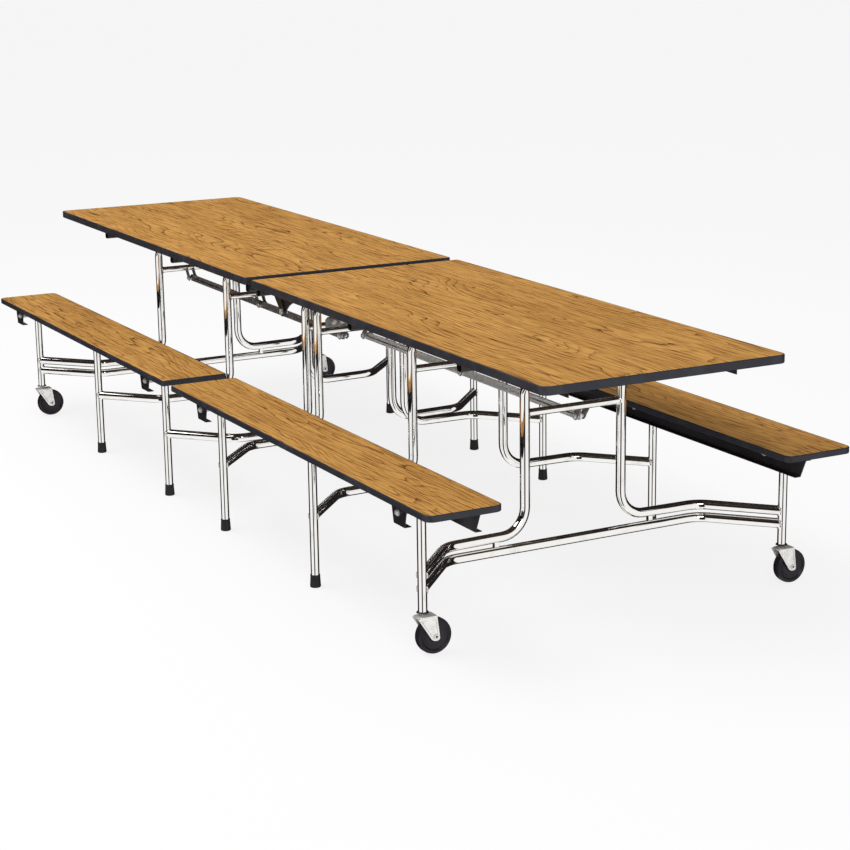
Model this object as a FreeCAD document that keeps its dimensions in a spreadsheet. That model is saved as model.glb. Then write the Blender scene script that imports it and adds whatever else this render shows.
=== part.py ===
import FreeCAD, Part
import math
import os
from types import SimpleNamespace

import Sketcher
from FreeCAD import Placement, Rotation, Vector

# Mobile folding cafeteria table with four attached benches.
# X runs along the table, Y across it, Z up. The origin is on the floor below
# the middle of the table. Every piece is described for the right half (+X);
# the left half is the same half turned by 180 degrees about Z.

DRIVING_SIZES = [
    ("half_length", 1842.0, "middle of the table to its outer end"),
    ("half_width", 381.0, "middle of the table to its long edge"),
    ("table_height", 750.0, "floor to table surface"),
    ("top_thickness", 24.0, "thickness of a tabletop"),
    ("seam_gap", 48.0, "gap between the two tabletops"),
    ("edge_band", 4.0, "thickness of the moulded edge band"),
    ("edge_round", 2.5, "rounding of the edge band"),
    ("top_corner", 25.0, "corner radius at a tabletop's outer end"),
    ("inner_corner", 10.0, "corner radius at the seam"),
    ("bench_height", 440.0, "floor to seat surface"),
    ("bench_thickness", 18.0, "thickness of a bench board"),
    ("bench_near_side", 450.0, "middle of the table to a bench's near edge"),
    ("bench_far_side", 673.0, "middle of the table to a bench's far edge"),
    ("bench_seam_end", 35.0, "middle of the table to a bench's inner end"),
    ("bench_outer_end", 1768.0, "middle of the table to a bench's outer end"),
    ("bench_corner", 25.0, "corner radius at a bench's outer end"),
    ("inner_leg_x", 45.0, "middle of the table to the inner frame's legs"),
    ("frame_pitch", 665.0, "distance from one frame to the next"),
    ("leg_side", 158.0, "middle of the table to a table leg, sideways"),
    ("leg_diameter", 28.6, "outer diameter of a leg tube"),
    ("post_diameter", 25.4, "outer diameter of a bench post"),
    ("cross_diameter", 22.0, "outer diameter of the upper cross tube"),
    ("tube_wall", 2.0, "wall of every tube"),
    ("arm_height", 213.0, "floor to the axis of a leg tube's level arm"),
    ("end_arm_height", 219.0, "floor to the axis of an arm of the end frame"),
    ("foot_bend", 75.0, "bend radius where a leg turns into its arm"),
    ("kink_side", 417.0, "middle of the table to the kink of an arm"),
    ("kink_outward", 10.0, "how far the kink stands outwards of its leg"),
    ("kink_bend", 85.0, "bend radius of the kink"),
    ("post_side", 586.0, "middle of the table to a bench post, sideways"),
    ("post_offset", 195.0, "how far a bench post stands outwards of its leg"),
    ("brace_height", 181.0, "floor to the axis of the end frame's low brace"),
    ("brace_diameter", 28.6, "outer diameter of the low brace"),
    ("spacer_side", 255.0, "middle of the table to a spacer on the brace"),
    ("spacer_size", 14.0, "width of a spacer on the brace"),
    ("cross_height", 560.0, "floor to the axis of the upper cross tube"),
    ("lock_near", 35.0, "middle of the table to the lock plate's near end"),
    ("lock_far", 128.0, "middle of the table to the lock plate's far end"),
    ("lock_rise", 46.0, "cross tube up to the top of the lock plate"),
    ("lock_sheet", 4.0, "thickness of the lock plate"),
    ("lock_bevel", 9.0, "bevel of the lock plate's upper corners"),
    ("leg_pivot_depth", 74.0, "table surface to the leg pivots"),
    ("hinge_depth", 119.0, "table surface to the middle hinge"),
    ("flat_reach", 24.0, "leg pivot down to the end of the flattened tube"),
    ("pinch_length", 40.0, "length over which a leg tube is pinched flat"),
    ("flat_thickness", 8.0, "thickness of the flattened tube"),
    ("flat_width", 38.0, "width of the flattened tube"),
    ("bolt_diameter", 10.0, "diameter of the pivot bolts"),
    ("head_diameter", 16.0, "diameter of a pivot bolt's head"),
    ("head_thickness", 5.0, "thickness of a pivot bolt's head"),
    ("running_gap", 0.05, "radial clearance of a turning joint"),
    ("side_gap", 0.5, "clearance beside a turning part"),
    ("sheet", 2.5, "thickness of the pressed steel under the tops"),
    ("rail_depth", 26.0, "depth of a cross rail"),
    ("rail_half", 13.0, "half width of a cross rail"),
    ("rail_flange", 7.0, "width of a cross rail's flange"),
    ("rail_reach", 362.0, "middle of the table to a cross rail's end"),
    ("rail_round", 6.0, "outer rounding of a cross rail's bends"),
    ("side_rail_side", 262.5, "middle of the table to a side rail's web"),
    ("side_rail_depth", 31.0, "depth of a side rail"),
    ("side_rail_flange", 25.0, "width of a side rail's flange"),
    ("side_rail_end", 1772.0, "middle of the table to a side rail's outer end"),
    ("ear_sheet", 3.0, "thickness of a leg pivot's ear"),
    ("ear_half", 13.0, "half width of a leg pivot's ear"),
    ("hinge_plate", 5.0, "thickness of a hinge plate"),
    ("hinge_side", 254.0, "middle of the table to the broad hinge plate"),
    ("hinge_gap", 1.0, "gap between the two plates of a hinge"),
    ("hinge_pin", 12.0, "diameter of a hinge pin"),
    ("hinge_boss", 16.0, "radius of a hinge plate around its pin"),
    ("hinge_reach", 150.0, "middle of the table to the broad plate's end"),
    ("hinge_foot", 48.0, "height of the broad plate below the board"),
    ("arm_reach", 100.0, "middle of the table to the narrow arm's end"),
    ("arm_foot", 34.0, "height of the narrow arm below the board"),
    ("bar_side", 35.0, "middle of the table to the link bar, sideways"),
    ("bar_height", 25.0, "height of the link bar"),
    ("bar_thickness", 6.0, "thickness of the link bar"),
    ("lug_drop", 36.0, "cross tube down to the link bar's pin"),
    ("lug_inset", 27.0, "cross tube inwards to the link bar's pin"),
    ("lug_half", 14.5, "half width of a link bar lug"),
    ("lug_sheet", 3.0, "thickness of a link bar lug"),
    ("bench_pivot_depth", 40.0, "seat surface to the bench pivots"),
    ("post_top", 10.0, "bench pivot to the top of a post"),
    ("beam_side", 516.0, "middle of the table to a bench beam's web"),
    ("beam_sheet", 2.0, "thickness of a bench beam"),
    ("beam_depth", 55.0, "depth of a bench beam"),
    ("beam_foot", 18.0, "width of a bench beam's foot"),
    ("beam_flange", 34.0, "width of a bench beam's flange"),
    ("beam_slant", 25.0, "slant of a bench beam's ends"),
    ("beam_inset", 8.0, "bench outer end to its beam"),
    ("beam_seam_inset", 25.0, "bench inner end to its beam"),
    ("hanger_side", 652.0, "middle of the table to a bench hanger's web"),
    ("hanger_inward", 37.0, "bench post inwards to the end of its hanger"),
    ("hanger_outward", 50.0, "bench post outwards to the end of its hanger"),
    ("hanger_flange", 16.0, "width of a bench hanger's flange"),
    ("glide_diameter", 28.0, "diameter of a rubber glide at its top"),
    ("glide_foot", 32.0, "diameter of a rubber glide near the floor"),
    ("glide_bevel", 2.5, "bevel of a glide's underside"),
    ("glide_height", 38.0, "height of a rubber glide"),
    ("glide_floor", 8.0, "rubber below the post"),
    ("wheel_diameter", 100.0, "diameter of a caster wheel"),
    ("wheel_width", 28.0, "width of a caster wheel"),
    ("caster_trail", 30.0, "caster stem to its axle, sideways"),
    ("caster_height", 118.0, "floor to the bottom of an end post"),
    ("fork_sheet", 3.0, "thickness of the caster fork"),
    ("fork_gap", 2.0, "clearance beside a caster wheel"),
    ("race_radius", 23.0, "radius of the caster's ball race"),
    ("race_height", 9.0, "height of the caster's ball race"),
    ("kingpin_diameter", 11.0, "diameter of the caster's kingpin"),
    ("plug_height", 32.0, "height of the plug in an end post"),
]

HALVES = {
    "right": Placement(),
    "left": Placement(Vector(), Rotation(Vector(0, 0, 1), 180)),
}
HALF_SIGNS = {"right": 1, "left": -1}
FRAMES = {"inner": 0, "mid": 1, "caster": 2}
SIDES = {"front": -1, "back": 1}

doc = FreeCAD.newDocument("FoldingTable")
nodes = []


class Size:
    """A length in millimetres, with the spreadsheet formula that gives it."""

    def __init__(self, value, formula):
        self.value = value
        self.formula = formula

    def __add__(self, other):
        other = as_size(other)
        return Size(self.value + other.value, f"({self.formula} + {other.formula})")

    def __sub__(self, other):
        other = as_size(other)
        return Size(self.value - other.value, f"({self.formula} - {other.formula})")

    def __mul__(self, factor):
        return Size(self.value * factor, f"({self.formula} * ({factor}))")

    def __truediv__(self, factor):
        return Size(self.value / factor, f"({self.formula} / {factor})")

    def __neg__(self):
        return self * -1


def as_size(number):
    if isinstance(number, Size):
        return number
    return Size(float(number), f"({float(number)})")


def read_sheet():
    """Write the driving sizes into a spreadsheet and read them back."""
    sheet = doc.addObject("Spreadsheet::Sheet", "Sizes")
    for row, (alias, number, meaning) in enumerate(DRIVING_SIZES, start=1):
        sheet.set(f"A{row}", meaning)
        sheet.set(f"B{row}", str(number))
        sheet.setAlias(f"B{row}", alias)
    doc.recompute()
    sizes = SimpleNamespace()
    for alias, _number, _meaning in DRIVING_SIZES:
        setattr(sizes, alias, Size(float(sheet.get(alias)), f"Sizes.{alias}"))
    return sizes


s = read_sheet()

# Heights and places that several pieces share.
top_underside = s.table_height - s.top_thickness
leg_pivot_z = s.table_height - s.leg_pivot_depth
hinge_z = s.table_height - s.hinge_depth
rail_bottom = top_underside - s.rail_depth
bench_underside = s.bench_height - s.bench_thickness
bench_pivot_z = s.bench_height - s.bench_pivot_depth
post_top_z = bench_pivot_z + s.post_top
beam_bottom = bench_underside - s.beam_depth
lug_pin_z = s.cross_height - s.lug_drop
bolt_radius = s.bolt_diameter / 2
bolt_hole = bolt_radius + s.running_gap
head_radius = s.head_diameter / 2
leg_x = {name: s.inner_leg_x + s.frame_pitch * n for name, n in FRAMES.items()}
post_x = {name: x + s.post_offset for name, x in leg_x.items()}
arm_z = {"inner": s.arm_height, "mid": s.arm_height, "caster": s.end_arm_height}


def bind(obj, **formulas):
    for name, size in formulas.items():
        obj.setExpression(name, as_size(size).formula)


def put(obj, x, y, z):
    for axis, size in zip("xyz", (x, y, z)):
        obj.setExpression(f"Placement.Base.{axis}", as_size(size).formula)


def node(label, obj, half=None):
    """Name a finished piece and turn it into its half of the table."""
    obj.Label = label
    if half:
        obj.Placement = HALVES[half] * obj.Placement
    nodes.append(obj)
    return obj


def box(low, high):
    obj = doc.addObject("Part::Box", "Box")
    spans = [as_size(b) - a for a, b in zip(low, high)]
    bind(obj, Length=spans[0], Width=spans[1], Height=spans[2])
    put(obj, *low)
    return obj


TURNS = {
    "x": Rotation(Vector(0, 1, 0), 90),
    "y": Rotation(Vector(1, 0, 0), -90),
    "z": Rotation(),
}


def rod(axis, radius, start, length):
    """A cylinder from the start point along one axis."""
    obj = doc.addObject("Part::Cylinder", "Rod")
    bind(obj, Radius=radius, Height=length)
    obj.Placement = Placement(Vector(), TURNS[axis])
    put(obj, *start)
    return obj


def side_rod(radius, side, low, high, x, z):
    """A rod across the table, from low to high as seen from its middle."""
    start = low if side > 0 else -high
    return rod("y", radius, (x, start, z), high - low)


def fuse(*shapes):
    obj = doc.addObject("Part::MultiFuse", "Joined")
    obj.Shapes = list(shapes)
    return obj


def cut(base, *tools):
    obj = doc.addObject("Part::Cut", "CutOut")
    obj.Base = base
    obj.Tool = tools[0] if len(tools) == 1 else fuse(*tools)
    return obj


def common(first, second):
    obj = doc.addObject("Part::Common", "Trimmed")
    obj.Base = first
    obj.Tool = second
    return obj


def group(*solids):
    obj = doc.addObject("Part::Compound", "Group")
    obj.Links = list(solids)
    return obj


def outline_sketch(body, plane, points):
    """A closed outline on one of the body's planes, each corner bound to the sheet."""
    sketch = body.newObject("Sketcher::SketchObject", "Outline")
    support = [f for f in body.Origin.OriginFeatures if f.Role == plane + "_Plane"]
    sketch.AttachmentSupport = [(support[0], "")]
    sketch.MapMode = "FlatFace"
    corners = [(as_size(a), as_size(b)) for a, b in points]
    count = len(corners)
    for n, (a, b) in enumerate(corners):
        c, d = corners[(n + 1) % count]
        line = Part.LineSegment(Vector(a.value, b.value, 0), Vector(c.value, d.value, 0))
        sketch.addGeometry(line, False)
    for n in range(count):
        sketch.addConstraint(Sketcher.Constraint("Coincident", n, 2, (n + 1) % count, 1))
    for n, corner in enumerate(corners):
        for kind, size in zip(("DistanceX", "DistanceY"), corner):
            rule = Sketcher.Constraint(kind, -1, 1, n, 1, size.value)
            place = sketch.addConstraint(rule)
            sketch.setExpression(f"Constraints[{place}]", size.formula)
    return sketch


def prism(plane, points, low, high):
    """An outline thickened from low to high along the third axis."""
    body = doc.addObject("PartDesign::Body", "Prism")
    sketch = outline_sketch(body, plane, points)
    middle = (as_size(low) + high) / 2
    if plane == "XZ":
        middle = -middle
    sketch.setExpression("AttachmentOffset.Base.z", middle.formula)
    pad = body.newObject("PartDesign::Pad", "Pad")
    pad.Profile = sketch
    pad.SideType = "Symmetric"
    bind(pad, Length=as_size(high) - low)
    sketch.Visibility = False
    return body


def turned(points, x, y, z, axis):
    """An outline revolved about the body's own X or Z axis, then put in place."""
    body = doc.addObject("PartDesign::Body", "Turned")
    sketch = outline_sketch(body, "XZ", points)
    spin = body.newObject("PartDesign::Revolution", "Revolution")
    spin.Profile = sketch
    spin.ReferenceAxis = (sketch, [{"x": "H_Axis", "z": "V_Axis"}[axis]])
    spin.Angle = 360
    put(body, x, y, z)
    return body


def round_edges(body, radius, chosen):
    """Fillet the edges of the body's last feature that the test picks out."""
    doc.recompute()
    tip = body.Tip
    picked = [f"Edge{n}" for n, edge in enumerate(tip.Shape.Edges, start=1) if chosen(edge)]
    fillet = body.newObject("PartDesign::Fillet", "Rounding")
    fillet.Base = (tip, picked)
    bind(fillet, Radius=radius)
    body.Tip = fillet


def slab(inset, x_low, x_high, y_low, y_high, z_low, z_high, outer_corner, inner_corner):
    """A board with two corner radii, drawn in from its outline by the inset."""
    x_low, x_high = x_low + inset, x_high - inset
    y_low, y_high = y_low + inset, y_high - inset
    outline = [(x_low, y_low), (x_high, y_low), (x_high, y_high), (x_low, y_high)]
    body = prism("XY", outline, z_low, z_high)
    middle_x = (x_low.value + x_high.value) / 2
    height = (z_high - z_low).value / 2

    def upright(edge):
        return edge.BoundBox.ZLength > height

    round_edges(body, outer_corner - inset,
                lambda e: upright(e) and e.CenterOfMass.x > middle_x)
    round_edges(body, inner_corner - inset,
                lambda e: upright(e) and e.CenterOfMass.x < middle_x
                and e.BoundBox.XLength < 1e-6)
    return body


def board_and_band(half, name, band_name, *outline):
    """A board and the edge band that wraps around it."""
    node(name, slab(s.edge_band, *outline), half)
    wrap = slab(as_size(0), *outline)
    round_edges(wrap, s.edge_round, lambda e: e.BoundBox.ZLength < 1e-6)
    node(band_name, cut(wrap, slab(s.edge_band, *outline)), half)


# ---------------------------------------------------------------- the tops

def tabletop(half):
    board_and_band(
        half, f"{half}_tabletop", f"{half}_tabletop_edge",
        s.seam_gap / 2, s.half_length, -s.half_width, s.half_width,
        top_underside, s.table_height, s.top_corner, s.inner_corner)


def cross_rail(x):
    """A hat section across the top, open upwards and closed by the board."""
    foot = s.rail_half - s.sheet
    brim = s.rail_half + s.rail_flange
    brim_z = top_underside - s.sheet
    half_outline = [(brim, top_underside), (brim, brim_z), (s.rail_half, brim_z),
                    (s.rail_half, rail_bottom)]
    inner_outline = [(foot, rail_bottom + s.sheet), (foot, top_underside)]
    right = [(x + a, b) for a, b in half_outline]
    left = [(x - a, b) for a, b in reversed(half_outline)]
    hollow = [(x - a, b) for a, b in reversed(inner_outline)]
    hollow += [(x + a, b) for a, b in inner_outline]
    body = prism("XZ", right + left + hollow, -s.rail_reach, s.rail_reach)

    def bends(height):
        return lambda e: abs(e.CenterOfMass.z - height.value) < 1e-6 and e.BoundBox.YLength > 1

    round_edges(body, s.rail_round, bends(rail_bottom))
    round_edges(body, s.rail_round - s.sheet, bends(rail_bottom + s.sheet))
    return body


def side_rail(side):
    """An angle along the top, its flange screwed to the board."""
    web = s.side_rail_side
    start = s.seam_gap / 2 + s.edge_band
    bottom = top_underside - s.side_rail_depth
    far = web + s.side_rail_flange
    profile = [(web, bottom), (web + s.sheet, bottom), (web + s.sheet, top_underside - s.sheet),
               (far, top_underside - s.sheet), (far, top_underside), (web, top_underside)]
    return prism("YZ", [(y * side, z) for y, z in profile], start, s.side_rail_end)


def leg_ears(x, side):
    """The two ears that carry one leg's pivot bolt, let into the rail's floor."""
    gap = s.flat_thickness / 2 + s.side_gap
    ear_top = rail_bottom + s.rail_round
    ears = []
    for direction in (-1, 1):
        middle = s.leg_side * side
        faces = [middle + gap * direction, middle + (gap + s.ear_sheet) * direction]
        low, high = faces if direction > 0 else reversed(faces)
        plate = box((x - s.ear_half, low, leg_pivot_z), (x + s.ear_half, high, ear_top))
        nose = rod("y", s.ear_half, (x, low, leg_pivot_z), s.ear_sheet)
        ears.append(cut(fuse(plate, nose), rod("y", bolt_hole, (x, low, leg_pivot_z), s.ear_sheet)))
    return ears


def top_frame(half):
    """Cross rails, side rails and leg ears, welded into one ladder."""
    pieces = [cross_rail(x) for x in leg_x.values()]
    pieces += [side_rail(side) for side in SIDES.values()]
    for x in leg_x.values():
        for side in SIDES.values():
            pieces += leg_ears(x, side)
    node(f"{half}_top_frame", fuse(*pieces), half)


def leg_bolts(half):
    reach = s.flat_thickness / 2 + s.side_gap + s.ear_sheet
    bolts = []
    for x in leg_x.values():
        for side in SIDES.values():
            middle = s.leg_side * side
            shank = rod("y", bolt_radius, (x, middle - reach, leg_pivot_z), reach * 2)
            head = rod("y", head_radius, (x, middle + reach, leg_pivot_z), s.head_thickness)
            nut_start = middle - reach - s.head_thickness
            nut = rod("y", head_radius, (x, nut_start, leg_pivot_z), s.head_thickness)
            bolts.append(fuse(shank, head, nut))
    node(f"{half}_leg_bolts", group(*bolts), half)


def hinge_eye(low, high):
    return rod("y", s.hinge_boss, (0, low, hinge_z), high - low)


def hinge_hole(low, high):
    radius = s.hinge_pin / 2 + s.running_gap
    return rod("y", radius, (0, low, hinge_z), high - low)


def hinge_plates(half):
    """A broad plate at the front and a narrow arm at the back of the seam.

    Both pass below the inner cross rail and rise behind it to the board.
    """
    boss = s.hinge_boss
    behind = leg_x["inner"] + s.rail_half + s.rail_flange + s.side_gap * 2
    low = -s.hinge_side - s.hinge_plate / 2
    high = -s.hinge_side + s.hinge_plate / 2
    foot = top_underside - s.hinge_foot
    broad_outline = [
        (-boss, hinge_z), (-boss * 1.5, hinge_z + boss * 2.3), (-boss, rail_bottom - boss / 2),
        (-boss, rail_bottom), (behind, rail_bottom), (behind, top_underside),
        (s.hinge_reach, top_underside), (s.hinge_reach, foot + boss * 0.7),
        (s.hinge_reach - boss * 0.7, foot), (behind, foot - boss * 0.6),
        (boss * 2.5, hinge_z + boss * 1.5), (boss * 1.4, hinge_z + boss * 0.6),
        (boss, hinge_z)]
    broad = prism("XZ", broad_outline, low, high)
    lip_top = (s.hinge_reach, high + s.side_rail_flange, top_underside)
    lip = box((behind, high, top_underside - s.sheet), lip_top)
    plate = cut(fuse(broad, hinge_eye(low, high), lip), hinge_hole(low, high))

    near = s.hinge_side + s.hinge_plate / 2 + s.hinge_gap
    far = near + s.hinge_plate
    arm_foot = top_underside - s.arm_foot
    arm_outline = [
        (-boss * 0.9, hinge_z), (-boss * 0.4, hinge_z + boss * 1.2),
        (s.seam_gap / 2 + s.edge_band, rail_bottom), (behind, rail_bottom),
        (behind, top_underside), (s.arm_reach, top_underside), (s.arm_reach, arm_foot),
        (behind, arm_foot - boss * 0.6), (boss * 0.9, hinge_z)]
    arm_body = prism("XZ", arm_outline, near, far)
    arm = cut(fuse(arm_body, hinge_eye(near, far)), hinge_hole(near, far))
    node(f"{half}_hinge_plates", group(plate, arm), half)


def hinge_pins():
    """The two pins of the middle hinge, carried by the left top."""
    near = s.hinge_side - s.hinge_plate / 2
    far = s.hinge_side + s.hinge_plate / 2 + s.hinge_gap + s.hinge_plate
    thickness = s.head_thickness
    pins = []
    for side in SIDES.values():
        shank = side_rod(s.hinge_pin / 2, side, near - thickness, far + thickness, 0, hinge_z)
        inner_head = side_rod(s.hinge_boss * 0.6, side, near - thickness, near, 0, hinge_z)
        outer_head = side_rod(s.hinge_boss * 0.6, side, far, far + thickness, 0, hinge_z)
        pins.append(fuse(shank, inner_head, outer_head))
    node("hinge_pins", group(*pins))


# -------------------------------------------------------------- the frames

def centre_line(points, radii):
    """A wire through the points, with an arc of the given radius at each turn."""
    edges = []
    start = points[0]
    for before, corner, after, radius in zip(points, points[1:], points[2:], radii):
        back = (before - corner).normalize()
        onwards = (after - corner).normalize()
        half_angle = back.getAngle(onwards) / 2
        reach = radius / math.tan(half_angle)
        middle = (back + onwards).normalize() * (radius / math.sin(half_angle) - radius)
        first, last = corner + back * reach, corner + onwards * reach
        edges.append(Part.LineSegment(start, first).toShape())
        edges.append(Part.Arc(first, corner + middle, last).toShape())
        start = last
    edges.append(Part.LineSegment(start, points[-1]).toShape())
    return Part.Wire(edges)


def along(line, radius):
    first = line.Edges[0]
    start = first.valueAt(first.FirstParameter)
    heading = first.tangentAt(first.FirstParameter)
    ring = Part.Wire(Part.makeCircle(radius, start, heading))
    return line.makePipeShell([ring], True, False)


def arm_points(frame, side):
    """The corners of a bent arm, from its leg to the axis of its bench post."""
    kink_x = (leg_x[frame] + s.kink_outward).value
    return [(kink_x, side * s.kink_side.value),
            (post_x[frame].value, side * s.post_side.value)]


def leg_line(frame, side):
    x, y = leg_x[frame].value, side * s.leg_side.value
    level = arm_z[frame].value
    top = (leg_pivot_z - s.flat_reach - s.pinch_length).value
    points = [Vector(x, y, top), Vector(x, y, level)]
    points += [Vector(a, b, level) for a, b in arm_points(frame, side)]
    return centre_line(points, [s.foot_bend.value, s.kink_bend.value])


def post_core(frame, side):
    """The space that a bench post fills, for trimming what is welded to it."""
    start = Vector(post_x[frame].value, side * s.post_side.value, 0)
    return Part.makeCylinder(s.post_diameter.value / 2, s.bench_height.value, start)


def pinched_top(x, y):
    """The top of a leg tube, pinched flat and rounded about its pivot hole."""
    radius = s.leg_diameter.value / 2
    thick = s.flat_thickness.value / 2
    wide = s.flat_width.value / 2
    pivot = leg_pivot_z.value
    flat_z = pivot - s.flat_reach.value
    round_z = flat_z - s.pinch_length.value
    corner = radius * math.sqrt(0.5)
    straight = wide - thick

    def ring(z, a, b, end_bulge, side_bulge):
        def at(px, py):
            return Vector(x + px, y + py, z)
        arcs = [Part.Arc(at(a, -b), at(a + end_bulge, 0), at(a, b)).toShape()]
        if side_bulge:
            arcs.append(Part.Arc(at(a, b), at(0, b + side_bulge), at(-a, b)).toShape())
        else:
            arcs.append(Part.LineSegment(at(a, b), at(-a, b)).toShape())
        arcs.append(Part.Arc(at(-a, b), at(-a - end_bulge, 0), at(-a, -b)).toShape())
        if side_bulge:
            arcs.append(Part.Arc(at(-a, -b), at(0, -b - side_bulge), at(a, -b)).toShape())
        else:
            arcs.append(Part.LineSegment(at(-a, -b), at(a, -b)).toShape())
        return Part.Wire(arcs)

    round_ring = ring(round_z, corner, corner, radius - corner, radius - corner)
    flat_ring = ring(flat_z, straight, thick, thick, 0)
    pinch = Part.makeLoft([round_ring, flat_ring], True)
    strip = Part.Face(flat_ring).extrude(Vector(0, 0, pivot - flat_z))
    axis_start = Vector(x, y - thick, pivot)
    cap = Part.makeCylinder(wide, thick * 2, axis_start, Vector(0, 1, 0))
    hole = Part.makeCylinder(bolt_hole.value, thick * 2, axis_start, Vector(0, 1, 0))
    return pinch.fuse([strip, cap]).cut(hole)


def leg(frame, side):
    line = leg_line(frame, side)
    radius = s.leg_diameter.value / 2
    tube = along(line, radius).cut(along(line, radius - s.tube_wall.value))
    tube = tube.cut(post_core(frame, side))
    top = pinched_top(leg_x[frame].value, side * s.leg_side.value)
    return tube.fuse(top)


def set_shape(label, shape, half):
    obj = doc.addObject("Part::Feature", "Welded")
    obj.Shape = shape
    node(label, obj, half)


def legs(half, frame):
    pair = [leg(frame, side) for side in SIDES.values()]
    set_shape(f"{half}_{frame}_legs", Part.makeCompound(pair), half)


def post(frame, side):
    """A bench post, hollow, with a hole across its top for the bench pivot."""
    x, y = post_x[frame], s.post_side * side
    radius = s.post_diameter / 2
    bore_radius = radius - s.tube_wall
    bottom = s.caster_height if frame == "caster" else s.glide_floor
    outside = rod("z", radius, (x, y, bottom), post_top_z - bottom)
    eye = rod("y", bolt_hole, (x, y - radius, bench_pivot_z), s.post_diameter)
    if frame != "caster":
        bore = rod("z", bore_radius, (x, y, bottom), post_top_z - bottom)
        return cut(outside, bore, eye)
    plug_top = bottom + s.plug_height
    bore = rod("z", bore_radius, (x, y, plug_top), post_top_z - plug_top)
    kingpin_hole = rod("z", s.kingpin_diameter / 2 + s.running_gap, (x, y, bottom), s.plug_height)
    return cut(outside, bore, eye, kingpin_hole)


def posts(half, frame):
    pair = [post(frame, side) for side in SIDES.values()]
    node(f"{half}_{frame}_posts", group(*pair), half)


def glides(half, frame):
    foot, bevel = s.glide_foot / 2, s.glide_bevel
    inside = s.post_diameter / 2
    outline = [(0, 0), (foot - bevel, 0), (foot, bevel),
               (s.glide_diameter / 2, s.glide_height), (inside, s.glide_height),
               (inside, s.glide_floor), (0, s.glide_floor)]
    pair = [turned(outline, post_x[frame], s.post_side * side, 0, "z")
            for side in SIDES.values()]
    node(f"{half}_{frame}_glides", group(*pair), half)


def lug(x):
    """Two plates below the cross tube, with the pin that the link bar turns on."""
    tube_z, pin_z = s.cross_height.value, lug_pin_z.value
    pin_x = x - s.lug_inset.value
    middle, half = s.bar_side.value, s.lug_half.value
    sheet = s.lug_sheet.value
    pin_radius = bolt_radius.value
    nose = head_radius.value + sheet
    tube_radius = s.cross_diameter.value / 2
    across = Vector(0, 1, 0)
    slope = Vector(pin_x - x, 0, pin_z - tube_z).normalize()
    square = Vector(slope.z, 0, -slope.x)
    pieces = []
    for start in (middle - half, middle + half - sheet):
        top, low = Vector(x, start, tube_z), Vector(pin_x, start, pin_z)
        corners = [top + square * tube_radius, top - square * tube_radius,
                   low - square * nose, low + square * nose]
        plate = Part.Face(Part.makePolygon(corners + corners[:1])).extrude(across * sheet)
        pieces += [plate, Part.makeCylinder(nose, sheet, low, across)]
    collar = half - sheet - s.bar_thickness.value / 2 - s.side_gap.value
    for start in (middle - half + sheet, middle + half - sheet - collar):
        base = Vector(pin_x, start, pin_z)
        pieces.append(Part.makeCylinder(head_radius.value, collar, base, across))
    end = Vector(pin_x, middle - half - sheet, pin_z)
    pieces.append(Part.makeCylinder(pin_radius, (half + sheet) * 2, end, across))
    return pieces


def upper_cross_tube(frame):
    x, y, z = leg_x[frame].value, s.leg_side.value, s.cross_height.value
    radius = s.cross_diameter.value / 2
    start, across = Vector(x, -y, z), Vector(0, 1, 0)
    welded = lug(x)
    if frame == "inner":
        welded.append(lock_plate(frame))
    tube = Part.makeCylinder(radius, 2 * y, start, across).fuse(welded)
    tube = tube.cut(Part.makeCylinder(radius - s.tube_wall.value, 2 * y, start, across))
    for side in SIDES.values():
        base = Vector(x, side * y, z - 2 * radius)
        tube = tube.cut(Part.makeCylinder(s.leg_diameter.value / 2, 4 * radius, base))
    return tube


def lock_plate(frame):
    """The upright plate on the inner cross tube that the table's lock is bolted to."""
    x, z = leg_x[frame].value, s.cross_height.value
    near, far = -s.lock_near.value, -s.lock_far.value
    top, bevel, sheet = z + s.lock_rise.value, s.lock_bevel.value, s.lock_sheet.value
    outline = [(far, z), (near, z), (near, top - bevel), (near - bevel, top),
               (far + bevel, top), (far, top - bevel)]
    corners = [Vector(x - sheet / 2, a, b) for a, b in outline]
    plate = Part.Face(Part.makePolygon(corners + corners[:1])).extrude(Vector(sheet, 0, 0))
    holes = []
    for share in (1 / 3, 2 / 3):
        base = Vector(x - sheet / 2, near + (far - near) * share, top - 2 * bevel)
        holes.append(Part.makeCylinder(bolt_radius.value, sheet, base, Vector(1, 0, 0)))
    return plate.cut(holes)


def low_brace(frame):
    """The brace from post to post below the arms, with its two spacers."""
    z = s.brace_height.value
    radius = s.brace_diameter.value / 2
    kink_front, end_front = arm_points(frame, -1)
    kink_back, end_back = arm_points(frame, 1)
    points = [Vector(a, b, z) for a, b in (end_front, kink_front, kink_back, end_back)]
    line = centre_line(points, [s.kink_bend.value] * 2)
    tube = along(line, radius)
    half = s.spacer_size.value / 2
    x = (leg_x[frame] + s.kink_outward / 2).value
    for side in SIDES.values():
        low = Vector(x - half, side * s.spacer_side.value - half, z)
        block = Part.makeBox(2 * half, 2 * half, arm_z[frame].value - z, low)
        tube = tube.fuse(block.cut(along(leg_line(frame, side), s.leg_diameter.value / 2)))
    ends = [post_core(frame, side) for side in SIDES.values()]
    return tube.cut([along(line, radius - s.tube_wall.value)] + ends)


def cross_tubes(half, frame):
    tubes = [upper_cross_tube(frame)]
    if frame == "caster":
        tubes.append(low_brace(frame))
    set_shape(f"{half}_{frame}_cross_tubes", Part.makeCompound(tubes), half)


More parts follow.
